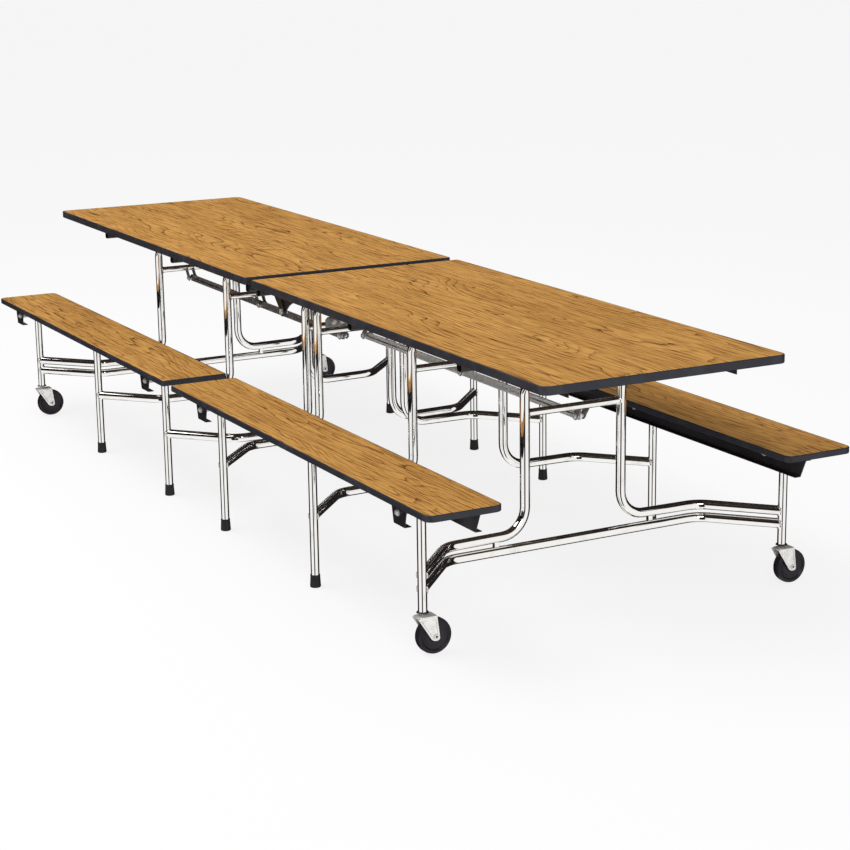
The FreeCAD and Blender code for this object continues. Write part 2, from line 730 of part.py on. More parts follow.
def link_bar(half):
    """The flat bar that keeps the three frames of a half parallel."""
    pins = [x - s.lug_inset for x in leg_x.values()]
    low = s.bar_side - s.bar_thickness / 2
    tall = s.bar_height / 2
    strip = box((pins[0], low, lug_pin_z - tall),
                (pins[-1], low + s.bar_thickness, lug_pin_z + tall))
    ends = [rod("y", tall, (pin, low, lug_pin_z), s.bar_thickness) for pin in (pins[0], pins[-1])]
    holes = [rod("y", bolt_hole, (pin, low, lug_pin_z), s.bar_thickness) for pin in pins]
    node(f"{half}_link_bar", cut(fuse(strip, *ends), *holes), half)


# -------------------------------------------------------------- the benches

def bench_board(half, name, side):
    near, far = s.bench_near_side * side, s.bench_far_side * side
    low, high = (near, far) if side > 0 else (far, near)
    board_and_band(
        half, f"{half}_{name}_bench_board", f"{half}_{name}_bench_edge",
        s.bench_seam_end, s.bench_outer_end, low, high,
        bench_underside, s.bench_height, s.bench_corner, s.inner_corner)


def z_section(side, web, flange):
    """An upright web with a foot towards the table and a flange under the board."""
    sheet = s.beam_sheet
    foot = web - s.beam_foot
    profile = [(foot, beam_bottom), (web + sheet, beam_bottom),
               (web + sheet, bench_underside - sheet), (web + flange, bench_underside - sheet),
               (web + flange, bench_underside), (web, bench_underside),
               (web, beam_bottom + sheet), (foot, beam_bottom + sheet)]
    return [(y * side, z) for y, z in profile]


def pivot_holes(side, low, high, places):
    return [side_rod(bolt_hole, side, low, high, x, bench_pivot_z) for x in places]


def slanted(profile, start, end, slant, y_low, y_high):
    """A section cut to length with slanted ends, longest under the board."""
    length = prism("YZ", profile, start, end)
    outline = [(start, bench_underside), (start + slant, beam_bottom),
               (end - slant, beam_bottom), (end, bench_underside)]
    return common(length, prism("XZ", outline, y_low, y_high))


def bench_beam(half, name, side):
    """The long bench beam and the two short hangers on the far side of its posts."""
    sheet = s.beam_sheet
    low, high = -s.bench_far_side, s.bench_far_side
    start = s.bench_seam_end + s.beam_seam_inset
    end = s.bench_outer_end - s.beam_inset
    profile = z_section(side, s.beam_side, s.beam_flange)
    beam = slanted(profile, start, end, s.beam_slant, low, high)
    holes = pivot_holes(side, s.beam_side, s.beam_side + sheet, post_x.values())
    pieces = [cut(beam, *holes)]
    for frame in ("inner", "caster"):
        x = post_x[frame]
        profile = z_section(side, s.hanger_side, s.hanger_flange)
        hanger = slanted(profile, x - s.hanger_inward, x + s.hanger_outward,
                         s.beam_slant / 2, low, high)
        hole = pivot_holes(side, s.hanger_side, s.hanger_side + sheet, [x])
        pieces.append(cut(hanger, *hole))
    node(f"{half}_{name}_bench_beam", group(*pieces), half)


def bench_pivots(half, name, side):
    """The three bolts on which a bench turns, with the sleeves beside each post."""
    web = s.beam_side + s.beam_sheet
    post_near = s.post_side - s.post_diameter / 2 - s.side_gap
    post_far = s.post_side + s.post_diameter / 2 + s.side_gap
    thick = s.head_thickness
    bolts = []
    for frame, x in post_x.items():
        head_low = s.beam_side - thick
        spans = [(head_radius, head_low, s.beam_side), (head_radius, web, post_near)]
        if frame == "mid":
            end = post_far + thick
            spans.append((head_radius, post_far, end))
        else:
            plate = s.hanger_side + s.beam_sheet
            end = plate + thick
            spans += [(head_radius, post_far, s.hanger_side), (head_radius, plate, end)]
        spans.append((bolt_radius, head_low, end))
        bolts.append(fuse(*[side_rod(radius, side, low, high, x, bench_pivot_z)
                            for radius, low, high in spans]))
    node(f"{half}_{name}_bench_pivots", group(*bolts), half)


# -------------------------------------------------------------- the casters

def caster_place(half, side):
    return post_x["caster"] * HALF_SIGNS[half], s.post_side * side


def caster_fork(half, name, side):
    """A pressed fork with its ball race, kingpin and axle, trailing to the back."""
    x, y = caster_place(half, side)
    axle_y, axle_z = y + s.caster_trail, s.wheel_diameter / 2
    race_top = s.caster_height - s.side_gap
    crown_top = race_top - s.race_height
    crown_low = crown_top - s.fork_sheet
    inside = s.wheel_width / 2 + s.fork_gap
    outside = inside + s.fork_sheet
    brim = s.race_radius
    race = rod("z", brim, (x, y, crown_top), s.race_height)
    pin_radius = s.kingpin_diameter / 2
    pin_reach = s.side_gap * 2 + s.plug_height
    kingpin = rod("z", pin_radius, (x, y, race_top), pin_reach)
    collar = rod("z", pin_radius + s.fork_sheet, (x, y, race_top + pin_reach), s.fork_sheet)
    crown = box((x - outside, y - brim, crown_low), (x + outside, y + brim, crown_top))
    eye = s.bolt_diameter
    cheek_outline = [(y - brim, crown_top), (y - brim, crown_low), (axle_y - eye, axle_z - eye / 2),
                     (axle_y + eye, axle_z), (y + brim, crown_low), (y + brim, crown_top)]
    pieces = [race, kingpin, collar, crown]
    for low, high in ((-outside, -inside), (inside, outside)):
        pieces.append(prism("YZ", cheek_outline, x + low, x + high))
        pieces.append(rod("x", eye, (x + low, axle_y, axle_z), s.fork_sheet))
    pieces.append(rod("x", bolt_radius, (x - outside, axle_y, axle_z), outside * 2))
    for start in (x - outside - s.fork_sheet, x + outside):
        pieces.append(rod("x", head_radius - s.side_gap, (start, axle_y, axle_z), s.fork_sheet))
    node(f"{half}_{name}_caster_fork", fuse(*pieces))


def caster_wheel(half, name, side):
    """A solid wheel with a raised hub, a dished web and a stepped rim."""
    x, y = caster_place(half, side)
    rim, wide = s.wheel_diameter / 2, s.wheel_width / 2
    shoulder = s.edge_band
    face = [(wide, bolt_hole), (wide, rim * 0.28), (wide - shoulder, rim * 0.34),
            (wide - shoulder, rim * 0.6), (wide - shoulder / 2, rim * 0.66),
            (wide - shoulder / 2, rim * 0.76), (wide, rim * 0.8), (wide, rim - shoulder),
            (wide - shoulder, rim)]
    outline = face + [(-a, b) for a, b in reversed(face)]
    wheel = turned(outline, x, y + s.caster_trail, rim, "x")
    node(f"{half}_{name}_caster_wheel", wheel)


# ------------------------------------------------------------ the assembly

def build_half(half):
    tabletop(half)
    top_frame(half)
    leg_bolts(half)
    hinge_plates(half)
    for frame in FRAMES:
        legs(half, frame)
        posts(half, frame)
        cross_tubes(half, frame)
        if frame != "caster":
            glides(half, frame)
    link_bar(half)
    for name, side in SIDES.items():
        bench_side = side * HALF_SIGNS[half]
        bench_board(half, name, bench_side)
        bench_beam(half, name, bench_side)
        bench_pivots(half, name, bench_side)
        caster_fork(half, name, side)
        caster_wheel(half, name, side)


def check_document():
    for obj in doc.Objects:
        if "Invalid" in obj.State or "Error" in obj.State:
            raise RuntimeError(f"{obj.Name} ({obj.Label}) did not recompute: {obj.State}")
    for obj in nodes:
        shape = obj.Shape
        if shape.isNull() or not shape.isValid() or not shape.Solids:
            raise RuntimeError(f"{obj.Label} has no valid solid")


def export_nodes():
    os.makedirs("parts", exist_ok=True)
    for obj in nodes:
        obj.Shape.exportStep(f"parts/{obj.Label}.step")


for half_name in HALVES:
    build_half(half_name)
hinge_pins()
doc.recompute()
check_document()
export_nodes()
print(f"{len(nodes)} nodes written")
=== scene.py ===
import math

import bmesh
import bpy
from mathutils import Matrix, Vector


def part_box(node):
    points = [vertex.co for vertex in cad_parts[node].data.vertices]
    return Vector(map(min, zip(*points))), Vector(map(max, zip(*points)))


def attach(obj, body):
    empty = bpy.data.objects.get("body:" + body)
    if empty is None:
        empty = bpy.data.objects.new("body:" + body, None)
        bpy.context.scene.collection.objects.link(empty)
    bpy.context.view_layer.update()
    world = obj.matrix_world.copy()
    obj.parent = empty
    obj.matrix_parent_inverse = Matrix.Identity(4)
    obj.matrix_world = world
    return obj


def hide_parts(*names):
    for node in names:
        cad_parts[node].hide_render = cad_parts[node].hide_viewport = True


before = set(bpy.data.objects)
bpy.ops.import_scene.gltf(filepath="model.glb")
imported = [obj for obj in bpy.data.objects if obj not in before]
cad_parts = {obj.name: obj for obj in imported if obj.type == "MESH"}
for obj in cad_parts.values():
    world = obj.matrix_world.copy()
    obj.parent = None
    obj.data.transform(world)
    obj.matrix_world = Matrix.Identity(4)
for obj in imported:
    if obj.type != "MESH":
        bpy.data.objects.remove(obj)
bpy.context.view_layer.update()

scene = bpy.context.scene
scene.view_settings.view_transform = "Standard"


# ---------------------------------------------------------------- the camera
# A long lens off the table's near right corner, a little above it, looking
# along the length of the table towards the far left end.

camera_place = (6.223, -3.031, 1.919)
camera_heading = math.radians(150.49)
camera_dip = math.radians(14.29)
camera_roll = math.radians(0.45)
image_size = 850
focal_pixels = 2112
middle_pixel = (484, 440.5)

camera = bpy.data.objects.new("camera", bpy.data.cameras.new("camera"))
scene.collection.objects.link(camera)
camera.location = camera_place
turn = Matrix.Rotation(camera_heading - math.pi / 2, 3, "Z")
tilt = Matrix.Rotation(math.pi / 2 - camera_dip, 3, "X")
lean = Matrix.Rotation(-camera_roll, 3, "Z")
camera.rotation_euler = (turn @ tilt @ lean).to_euler()
camera.data.sensor_width = 36
camera.data.lens = focal_pixels / image_size * camera.data.sensor_width
camera.data.shift_x = 0.5 - middle_pixel[0] / image_size
camera.data.shift_y = middle_pixel[1] / image_size - 0.5
camera.data.clip_end = 100
scene.camera = camera


# ------------------------------------------------- the floor and the studio
# A white floor under soft lamps. What reflections see is a white surround with
# dark flags round it and a dark ceiling, which draw the lines on bright tube.

class Wiring:
    """Adds nodes to a shader tree, and joins a value or a socket to each input."""

    def __init__(self, tree):
        self.tree = tree

    def add(self, kind, *sources, **settings):
        node = self.tree.nodes.new("ShaderNode" + kind)
        for name, value in settings.items():
            setattr(node, name, value)
        for place, source in enumerate(sources):
            self.join(source, node.inputs[place])
        return node

    def join(self, source, socket):
        if isinstance(source, bpy.types.NodeSocket):
            self.tree.links.new(source, socket)
        elif source is not None:
            socket.default_value = source

    def math(self, operation, *sources, clamp=False):
        return self.add("Math", *sources, operation=operation, use_clamp=clamp).outputs[0]

    def mix(self, share, first, second):
        """A colour between two colours."""
        node = self.tree.nodes.new("ShaderNodeMix")
        node.data_type = "RGBA"
        for socket, source in zip((node.inputs[0], node.inputs[6], node.inputs[7]),
                                  (share, first, second)):
            self.join(source, socket)
        return node.outputs[2]

    def noise(self, vector, scale, detail=2.0, roughness=0.5):
        node = self.add("TexNoise", vector)
        node.inputs["Scale"].default_value = scale
        node.inputs["Detail"].default_value = detail
        node.inputs["Roughness"].default_value = roughness
        return node.outputs["Fac"]

    def stretch(self, vector, amounts):
        """The vector with each axis scaled."""
        return self.add("VectorMath", vector, amounts, operation="MULTIPLY").outputs[0]

    def spread(self, value, low, high):
        """The value from low to high, opened out to 0 to 1."""
        node = self.add("MapRange", value, low, high, interpolation_type="SMOOTHSTEP")
        return node.outputs[0]


surround_white = (1, 1, 1, 1)
flag_dark = (0.016, 0.013, 0.014, 1)
shade_strength = 0.62
flag_soft = math.radians(3)

# A flag is a bearing and a half width, in degrees. An edge is two heights of the
# reflected ray: what it bounds is absent at the first and full at the second.
tall_flags = ((98, 40), (202, 40), (-32, 14))
low_flag = (122, 34)
far_flag = (150, 30)
near_flag = (-75, 30)
skylight = (45, 48)
tall_foot = (-0.85, -0.70)
low_foot, low_head = (-0.96, -0.88), (-0.34, -0.42)
waist_foot, waist_head = (-0.33, -0.28), (-0.17, -0.21)
upper_foot = (-0.10, 0.0)
ceiling_edge = (0.30, 0.42)
skylight_head = (0.66, 0.56)

world = bpy.data.worlds.new("surround")
scene.world = world
world.use_nodes = True
world.node_tree.nodes.clear()
sky = Wiring(world.node_tree)
aim = sky.add("SeparateXYZ", sky.add("TexCoord").outputs["Generated"])
bearing = sky.math("ARCTAN2", aim.outputs["Y"], aim.outputs["X"])


def flag(middle, half_width):
    """An upright strip of the surround at that bearing."""
    away = sky.math("SUBTRACT", bearing, math.radians(middle))
    away = sky.add("Math", away, math.pi, -math.pi, operation="WRAP").outputs[0]
    away = sky.math("ABSOLUTE", away)
    reach = math.radians(half_width)
    return sky.math("SUBTRACT", 1.0, sky.spread(away, reach - flag_soft, reach + flag_soft))


def past(edge):
    """How far the ray is past an edge, from 0 to 1."""
    return sky.spread(aim.outputs["Z"], *edge)


def add_flag(flagged, band, place):
    """What is dark so far, and that band of heights within the flag at the place."""
    return sky.math("MAXIMUM", flagged, sky.math("MULTIPLY", band, flag(*place)))


flagged = 0.0
for place in tall_flags:
    flagged = sky.math("MAXIMUM", flagged, flag(*place))
flagged = sky.math("MULTIPLY", flagged, past(tall_foot))
flagged = add_flag(flagged, sky.math("MULTIPLY", past(low_foot), past(low_head)), low_flag)
flagged = add_flag(flagged, sky.math("MULTIPLY", past(waist_foot), past(waist_head)), far_flag)
for place in (far_flag, near_flag):
    flagged = add_flag(flagged, past(upper_foot), place)
opened = sky.math("MULTIPLY", flag(*skylight), past(skylight_head))
ceiling = sky.math("SUBTRACT", past(ceiling_edge), opened, clamp=True)
flagged = sky.math("MAXIMUM", flagged, ceiling)
path = sky.add("LightPath")
mirrored = sky.math("MULTIPLY", flagged, path.outputs["Is Glossy Ray"])
seen = sky.math("MAXIMUM", path.outputs["Is Camera Ray"], path.outputs["Is Glossy Ray"])
seen = sky.math("MAXIMUM", seen, path.outputs["Is Transmission Ray"])
dim = sky.add("Background", surround_white, shade_strength)
studio = sky.add("Background", sky.mix(mirrored, surround_white, flag_dark), 1.0)
chosen = sky.add("MixShader", seen, dim.outputs[0], studio.outputs[0])
sky.add("OutputWorld", chosen.outputs[0])

floor_size = 80
floor_gap = 0.0005
floor_color = (0.86, 0.86, 0.86, 1)
floor_glow = 0.82

bpy.ops.object.select_all(action="DESELECT")
bpy.ops.mesh.primitive_plane_add(size=floor_size, location=(0, 0, -floor_gap))
floor = bpy.context.object
floor.name = "floor"
floor.visible_glossy = False
floor_paint = bpy.data.materials.new("floor_paint")
floor_paint.use_nodes = True
floor_tree = floor_paint.node_tree
floor_tree.nodes.clear()
paint = Wiring(floor_tree)
lit = paint.add("BsdfDiffuse", floor_color)
glow = paint.add("Emission", surround_white, 1.0)
path = paint.add("LightPath")
seen = paint.math("MAXIMUM", path.outputs["Is Camera Ray"], path.outputs["Is Transmission Ray"])
glow_share = paint.math("MULTIPLY", seen, floor_glow)
both = paint.add("MixShader", glow_share, lit.outputs[0], glow.outputs[0])
paint.add("OutputMaterial", both.outputs[0])
floor.data.materials.append(floor_paint)


def lamp(name, place, target, size, power):
    """A large soft lamp that points at a place on the table."""
    light = bpy.data.lights.new(name, "AREA")
    light.shape = "RECTANGLE"
    light.size, light.size_y = size
    light.energy = power
    holder = bpy.data.objects.new(name, light)
    scene.collection.objects.link(holder)
    holder.location = place
    heading = Vector(target) - Vector(place)
    holder.rotation_euler = heading.to_track_quat("-Z", "Y").to_euler()


lamp("key_lamp", (-1.0, -2.5, 5.0), (0, 0, 0.5), (5.0, 3.0), 190)
lamp("near_lamp", (7.0, -2.0, 3.0), (0.5, 0, 0.4), (3.0, 2.5), 100)


# ------------------------------------------------------------ the tabletops
# Two particle boards under oak-pattern laminate, with a brown backing sheet
# underneath. The grain runs along the table.

def shader_group(name, inputs, outputs):
    """A node group with named sockets, and the wiring to fill it."""
    tree = bpy.data.node_groups.new(name, "ShaderNodeTree")
    for label, kind, value in inputs:
        socket = tree.interface.new_socket(label, in_out="INPUT", socket_type="NodeSocket" + kind)
        if value is not None:
            socket.default_value = value
    for label, kind in outputs:
        tree.interface.new_socket(label, in_out="OUTPUT", socket_type="NodeSocket" + kind)
    return tree, Wiring(tree), tree.nodes.new("NodeGroupInput").outputs


def put_out(group_wires, *values):
    """Join the values to the group's outputs."""
    ends = group_wires.tree.nodes.new("NodeGroupOutput")
    for socket, value in zip(ends.inputs, values):
        group_wires.join(value, socket)


oak, grain, given = shader_group(
    "oak_pattern",
    [("Vector", "Vector", None), ("Leaf", "Float", 5.6), ("Rings", "Float", 25.0),
     ("Slope", "Float", 56.0)],
    [("Color", "Color"), ("Roughness", "Float"), ("Height", "Float")])
oak_light = (0.675, 0.352, 0.094, 1)
oak_middle = (0.555, 0.276, 0.068, 1)
oak_dark = (0.120, 0.036, 0.008, 1)
# How much each noise is squeezed along and across the grain.
figure_squeeze = 0.95
wander_squeeze = (0.7, 2.0, 0)
jitter_squeeze = (2.6, 40, 0)
broken_squeeze = (1.8, 70, 0)
dash_squeeze = (5, 150, 0)
pore_squeeze = (16, 330, 0)
tone_squeeze = (1.6, 9, 0)
where = given["Vector"]
along = grain.add("SeparateXYZ", where)
wander = grain.noise(grain.stretch(where, wander_squeeze), 1.0)
wander = grain.math("MULTIPLY_ADD", wander, 0.20, -0.10)
across = grain.math("ADD", along.outputs["Y"], wander)
leaf_place = grain.add("CombineXYZ", grain.math("MULTIPLY", along.outputs["X"], figure_squeeze),
                       grain.math("MULTIPLY", across, given["Leaf"]), 0.0)
figure = grain.noise(leaf_place.outputs[0], 1.0, detail=1.6, roughness=0.42)
jitter = grain.noise(grain.stretch(where, jitter_squeeze), 1.0, detail=2.0)
growth = grain.math("MULTIPLY", across, given["Slope"])
growth = grain.math("MULTIPLY_ADD", figure, given["Rings"], growth)
growth = grain.math("MULTIPLY_ADD", jitter, 0.70, growth)
within = grain.math("FRACT", growth)
early = grain.math("POWER", within, 6.0)
ring_number = grain.math("FLOOR", growth)
number_vector = grain.add("CombineXYZ", grain.math("MULTIPLY", ring_number, 0.73), 0.0, 0.0)
bold = grain.spread(grain.noise(number_vector.outputs[0], 1.0, detail=0.0), 0.30, 0.62)
broken = grain.spread(grain.noise(grain.stretch(where, broken_squeeze), 1.0, detail=3.0), 0.32, 0.60)
lines = grain.math("MULTIPLY", early, grain.math("MULTIPLY_ADD", bold, 0.75, 0.25))
lines = grain.math("MULTIPLY", lines, grain.math("MULTIPLY_ADD", broken, 0.65, 0.35))
dashes = grain.spread(grain.noise(grain.stretch(where, dash_squeeze), 1.0, detail=2.0), 0.47, 0.62)
pores = grain.spread(grain.noise(grain.stretch(where, pore_squeeze), 1.0, detail=1.0), 0.52, 0.68)
open_pores = grain.math("MULTIPLY", pores, grain.math("MULTIPLY_ADD", within, 0.7, 0.3))
tone = grain.noise(grain.stretch(where, tone_squeeze), 1.0, detail=3.0)
body_color = grain.mix(grain.spread(tone, 0.3, 0.72), oak_light, oak_middle)
marks = grain.math("MULTIPLY_ADD", dashes, 0.46, lines)
marks = grain.math("MULTIPLY_ADD", open_pores, 0.52, marks, clamp=True)
oak_color = grain.mix(marks, body_color, oak_dark)
sheen = grain.math("MULTIPLY_ADD", marks, 0.14, 0.46)
hollow = grain.math("MULTIPLY", marks, -1.0)
put_out(grain, oak_color, sheen, hollow)

backing_brown = (0.075, 0.052, 0.036, 1)
top_leaf, seat_leaf = 5.6, 8.0


def start_finish(name, group, **values):
    """A material with its own shader, and the group placed in it with its values."""
    made = bpy.data.materials.new(name)
    made.use_nodes = True
    wires = Wiring(made.node_tree)
    surface = made.node_tree.nodes.new("ShaderNodeGroup")
    surface.node_tree = group
    for label, value in values.items():
        surface.inputs[label].default_value = value
    return made, made.node_tree.nodes["Principled BSDF"], wires, surface


def feed_shader(shader, wires, surface, color, bump_strength, bump_depth):
    """Lead the colour, and the group's roughness and height, into the shader."""
    wires.join(color, shader.inputs["Base Color"])
    wires.join(surface.outputs["Roughness"], shader.inputs["Roughness"])
    bump = wires.add("Bump")
    bump.inputs["Strength"].default_value = bump_strength
    bump.inputs["Distance"].default_value = bump_depth
    wires.join(surface.outputs["Height"], bump.inputs["Height"])
    wires.join(bump.outputs[0], shader.inputs["Normal"])


def laminate(name, board_middle, shift, leaf):
    """Oak laminate above the middle of the board, and brown backing below it."""
    made, shader, wires, pattern = start_finish(name, oak, Leaf=leaf)
    place = wires.add("TexCoord").outputs["Object"]
    moved = wires.add("Mapping", place)
    moved.inputs["Location"].default_value = shift
    wires.join(moved.outputs[0], pattern.inputs["Vector"])
    upper = wires.math("GREATER_THAN", wires.add("SeparateXYZ", place).outputs["Z"], board_middle)
    color = wires.mix(upper, backing_brown, pattern.outputs["Color"])
    feed_shader(shader, wires, pattern, color, bump_strength=0.25, bump_depth=0.0003)
    shader.inputs["Specular IOR Level"].default_value = 0.08
    return made


def middle_height(node):
    low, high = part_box(node)
    return (low.z + high.z) / 2


def dress(node, material):
    """Give a CAD node its finish."""
    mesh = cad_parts[node].data
    mesh.materials.clear()
    mesh.materials.append(material)


top_shift = {"left": (0.35, 0.11, 0), "right": (2.4, 0.47, 0)}
for half, shift in top_shift.items():
    board = f"{half}_tabletop"
    dress(board, laminate(f"{board}_laminate", middle_height(board), shift, top_leaf))


# --------------------------------------------------- the tabletop edge bands
# Charcoal vinyl moulded round each board: square in section, with rounded
# lips above and below, and tight corners at the seam.

skin_outputs = [("Shade", "Float"), ("Roughness", "Float"), ("Height", "Float")]
moulding, skin, given = shader_group(
    "moulded_skin",
    [("Vector", "Vector", None), ("Roughness", "Float", 0.45), ("Grain", "Float", 900.0)],
    skin_outputs)
scuffs = skin.spread(skin.noise(given["Vector"], 14.0, detail=5.0, roughness=0.65), 0.45, 0.75)
pebble = skin.add("TexNoise", given["Vector"], None, given["Grain"]).outputs["Fac"]
rough = skin.math("MULTIPLY_ADD", scuffs, 0.16, given["Roughness"])
rough = skin.math("MULTIPLY_ADD", pebble, 0.06, rough)
put_out(skin, scuffs, rough, pebble)


def two_tone(name, group, colors, bump_strength, bump_depth, **values):
    """A finish that the group's shade takes from the first colour to the second."""
    made, shader, wires, surface = start_finish(name, group, **values)
    wires.join(wires.add("TexCoord").outputs["Object"], surface.inputs["Vector"])
    fresh, worn = ((*color, 1) for color in colors)
    mixed = wires.mix(surface.outputs["Shade"], fresh, worn)
    feed_shader(shader, wires, surface, mixed, bump_strength, bump_depth)
    return made, shader


def moulded(name, color, worn_color, roughness, grain_scale, bump_depth):
    """Moulded vinyl or rubber: a fine pebble and a few paler scuffs."""
    made, shader = two_tone(name, moulding, (color, worn_color), bump_strength=0.35,
                            bump_depth=bump_depth, Roughness=roughness, Grain=grain_scale)
    shader.inputs["Specular IOR Level"].default_value = 0.3
    return made


edge_vinyl = moulded("edge_vinyl", (0.024, 0.025, 0.034), (0.040, 0.042, 0.052), 0.42, 1400.0, 0.0001)
band_width = 0.004
lip_round = 0.0025
outer_corner = 0.025
seam_corner = 0.010


def select_by(piece, kind, test):
    """In edit mode, select the vertices, edges or faces that pass the test."""
    bpy.ops.mesh.select_mode(type=kind)
    bpy.ops.mesh.select_all(action="DESELECT")
    mesh = bmesh.from_edit_mesh(piece.data)
    parts = {"VERT": mesh.verts, "EDGE": mesh.edges, "FACE": mesh.faces}[kind]
    for part in parts:
        part.select = test(part)
    mesh.select_flush_mode()
    bmesh.update_edit_mesh(piece.data)


def start_piece(name):
    """Take the new primitive, name it, put its place in its mesh and open it."""
    piece = bpy.context.object
    piece.name = name
    bpy.ops.object.transform_apply(location=True, rotation=True, scale=True)
    bpy.ops.object.mode_set(mode="EDIT")
    bpy.ops.mesh.select_all(action="SELECT")
    return piece


def close_piece(piece, material, smooth_angle=35):
    """Clean the mesh, close edit mode, smooth it and give it its finish."""
    bpy.ops.mesh.select_all(action="SELECT")
    bpy.ops.mesh.remove_doubles(threshold=1e-6)
    bpy.ops.mesh.normals_make_consistent(inside=False)
    bpy.ops.object.mode_set(mode="OBJECT")
    bpy.ops.object.shade_smooth_by_angle(angle=math.radians(smooth_angle))
    piece.data.materials.clear()
    piece.data.materials.append(material)
    return piece


def edge_band(node, outer_side):
    """A band round the outline of a board, cut from a plate with rounded corners."""
    low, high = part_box(node)
    middle = (low + high) / 2
    bpy.ops.object.select_all(action="DESELECT")
    bpy.ops.mesh.primitive_plane_add(size=1, location=(middle.x, middle.y, low.z))
    bpy.context.object.scale = (high.x - low.x, high.y - low.y, 1)
    band = start_piece(f"{node}_moulding")
    for corner, side in ((outer_corner, outer_side), (seam_corner, -outer_side)):
        select_by(band, "VERT", lambda v: (v.co.x - middle.x) * side > 0
                  and abs(abs(v.co.y - middle.y) - (high.y - low.y) / 2) < 1e-6)
        bpy.ops.mesh.bevel(offset=corner, segments=14, affect="VERTICES")
    select_by(band, "FACE", lambda f: True)
    bpy.ops.mesh.inset(thickness=band_width)
    bpy.ops.mesh.delete(type="FACE")
    bpy.ops.mesh.select_all(action="SELECT")
    bpy.ops.mesh.extrude_region_move(TRANSFORM_OT_translate={"value": (0, 0, high.z - low.z)})
    bpy.ops.mesh.select_all(action="SELECT")
    bpy.ops.mesh.normals_make_consistent(inside=False)

    def on_outer_rim(edge):
        level = all(abs(v.co.z - edge.verts[0].co.z) < 1e-6 for v in edge.verts)
        walls = [f.normal for f in edge.link_faces if abs(f.normal.z) < 0.5]
        if not level or len(walls) != 1 or len(edge.link_faces) != 2:
            return False
        centre = (edge.verts[0].co + edge.verts[1].co) / 2
        from_spine = Vector((centre.x - middle.x, centre.y - middle.y, 0))
        spine_reach = (high.x - low.x - high.y + low.y) / 2
        from_spine.x -= max(-spine_reach, min(spine_reach, from_spine.x))
        return walls[0].dot(from_spine) > 0

    select_by(band, "EDGE", on_outer_rim)
    bpy.ops.mesh.bevel(offset=lip_round, segments=4, affect="EDGES")
    close_piece(band, edge_vinyl)
    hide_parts(node)
    return band


outwards = {"left": -1, "right": 1}
for half, side in outwards.items():
    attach(edge_band(f"{half}_tabletop_edge", side), f"{half}_top")


# ----------------------------------------------------- the steel under a top
# Cross rails, side rails and leg ears of pressed steel, welded and enamelled
# black. Pan-head screws hold the rails' flanges to the board.

enamel, coat, given = shader_group(
    "enamel_skin",
    [("Vector", "Vector", None), ("Roughness", "Float", 0.35)], skin_outputs)
peel = coat.noise(given["Vector"], 420.0, detail=1.0)
dust = coat.spread(coat.noise(given["Vector"], 9.0, detail=6.0, roughness=0.7), 0.48, 0.80)
rough = coat.math("MULTIPLY_ADD", dust, 0.10, given["Roughness"])
put_out(coat, dust, rough, peel)


def enamelled(name, color, dusty_color, roughness):
    """Sprayed enamel with a faint peel, and dust that pales it a little."""
    made, _ = two_tone(name, enamel, (color, dusty_color), bump_strength=0.2,
                       bump_depth=0.00005, Roughness=roughness)
    return made


black_enamel = enamelled("black_enamel", (0.016, 0.015, 0.017), (0.045, 0.042, 0.042), 0.32)


def soften(node, width):
    """Round the pressed edges of a CAD node a little."""
    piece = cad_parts[node]
    weld = piece.modifiers.new("weld", "WELD")
    weld.merge_threshold = 1e-5
    bevel = piece.modifiers.new("pressed_edges", "BEVEL")
    bevel.width = width
    bevel.segments = 2
    bevel.limit_method = "ANGLE"
    bevel.angle_limit = math.radians(40)
    bevel.use_clamp_overlap = True


for half in outwards:
    dress(f"{half}_top_frame", black_enamel)
    soften(f"{half}_top_frame", 0.0006)


# -------------------------------------------------- the hinge at the seam
# A broad plate and a narrow arm on each half, one outside the other, with a
# pin through each pair.

zinc_metal, plate, given = shader_group(
    "zinc_skin",
    [("Vector", "Vector", None), ("Roughness", "Float", 0.30)], skin_outputs)
blotch = plate.spread(plate.noise(given["Vector"], 60.0, detail=4.0, roughness=0.6), 0.35, 0.70)
fine = plate.noise(given["Vector"], 900.0, detail=1.0)
rough = plate.math("MULTIPLY_ADD", blotch, 0.14, given["Roughness"])
put_out(plate, blotch, rough, fine)


def plated(name, color, dull_color, roughness):
    """Plated steel, part dull and part bright, in soft blotches."""
    made, shader = two_tone(name, zinc_metal, (color, dull_color), bump_strength=0.15,
                            bump_depth=0.00002, Roughness=roughness)
    shader.inputs["Metallic"].default_value = 0.5
    return made


zinc = plated("zinc_plate", (0.80, 0.79, 0.76), (0.62, 0.61, 0.59), 0.26)
for half in outwards:
    dress(f"{half}_hinge_plates", black_enamel)
    soften(f"{half}_hinge_plates", 0.0008)
dress("hinge_pins", zinc)
soften("hinge_pins", 0.0012)


# ------------------------------------------------------------ the leg frames
# Chromed steel tube. Each leg is one length, pinched flat at the top for its
# pivot bolt, bent outwards at the foot and kinked towards its bench post.

chromed, mirror, given = shader_group(
    "chrome_skin",
    [("Vector", "Vector", None), ("Roughness", "Float", 0.05)], skin_outputs)
smears = mirror.spread(mirror.noise(given["Vector"], 22.0, detail=5.0, roughness=0.6), 0.5, 0.8)
drawn = mirror.noise(given["Vector"], 34.0, detail=1.0)
rough = mirror.math("MULTIPLY_ADD", smears, 0.10, given["Roughness"])
put_out(mirror, smears, rough, drawn)

bright, hazy = (0.90, 0.885, 0.855), (0.76, 0.735, 0.70)
chrome, chrome_shader = two_tone("chrome_plate", chromed, (bright, hazy), bump_strength=0.3,
                                 bump_depth=0.00015)
chrome_shader.inputs["Metallic"].default_value = 1.0

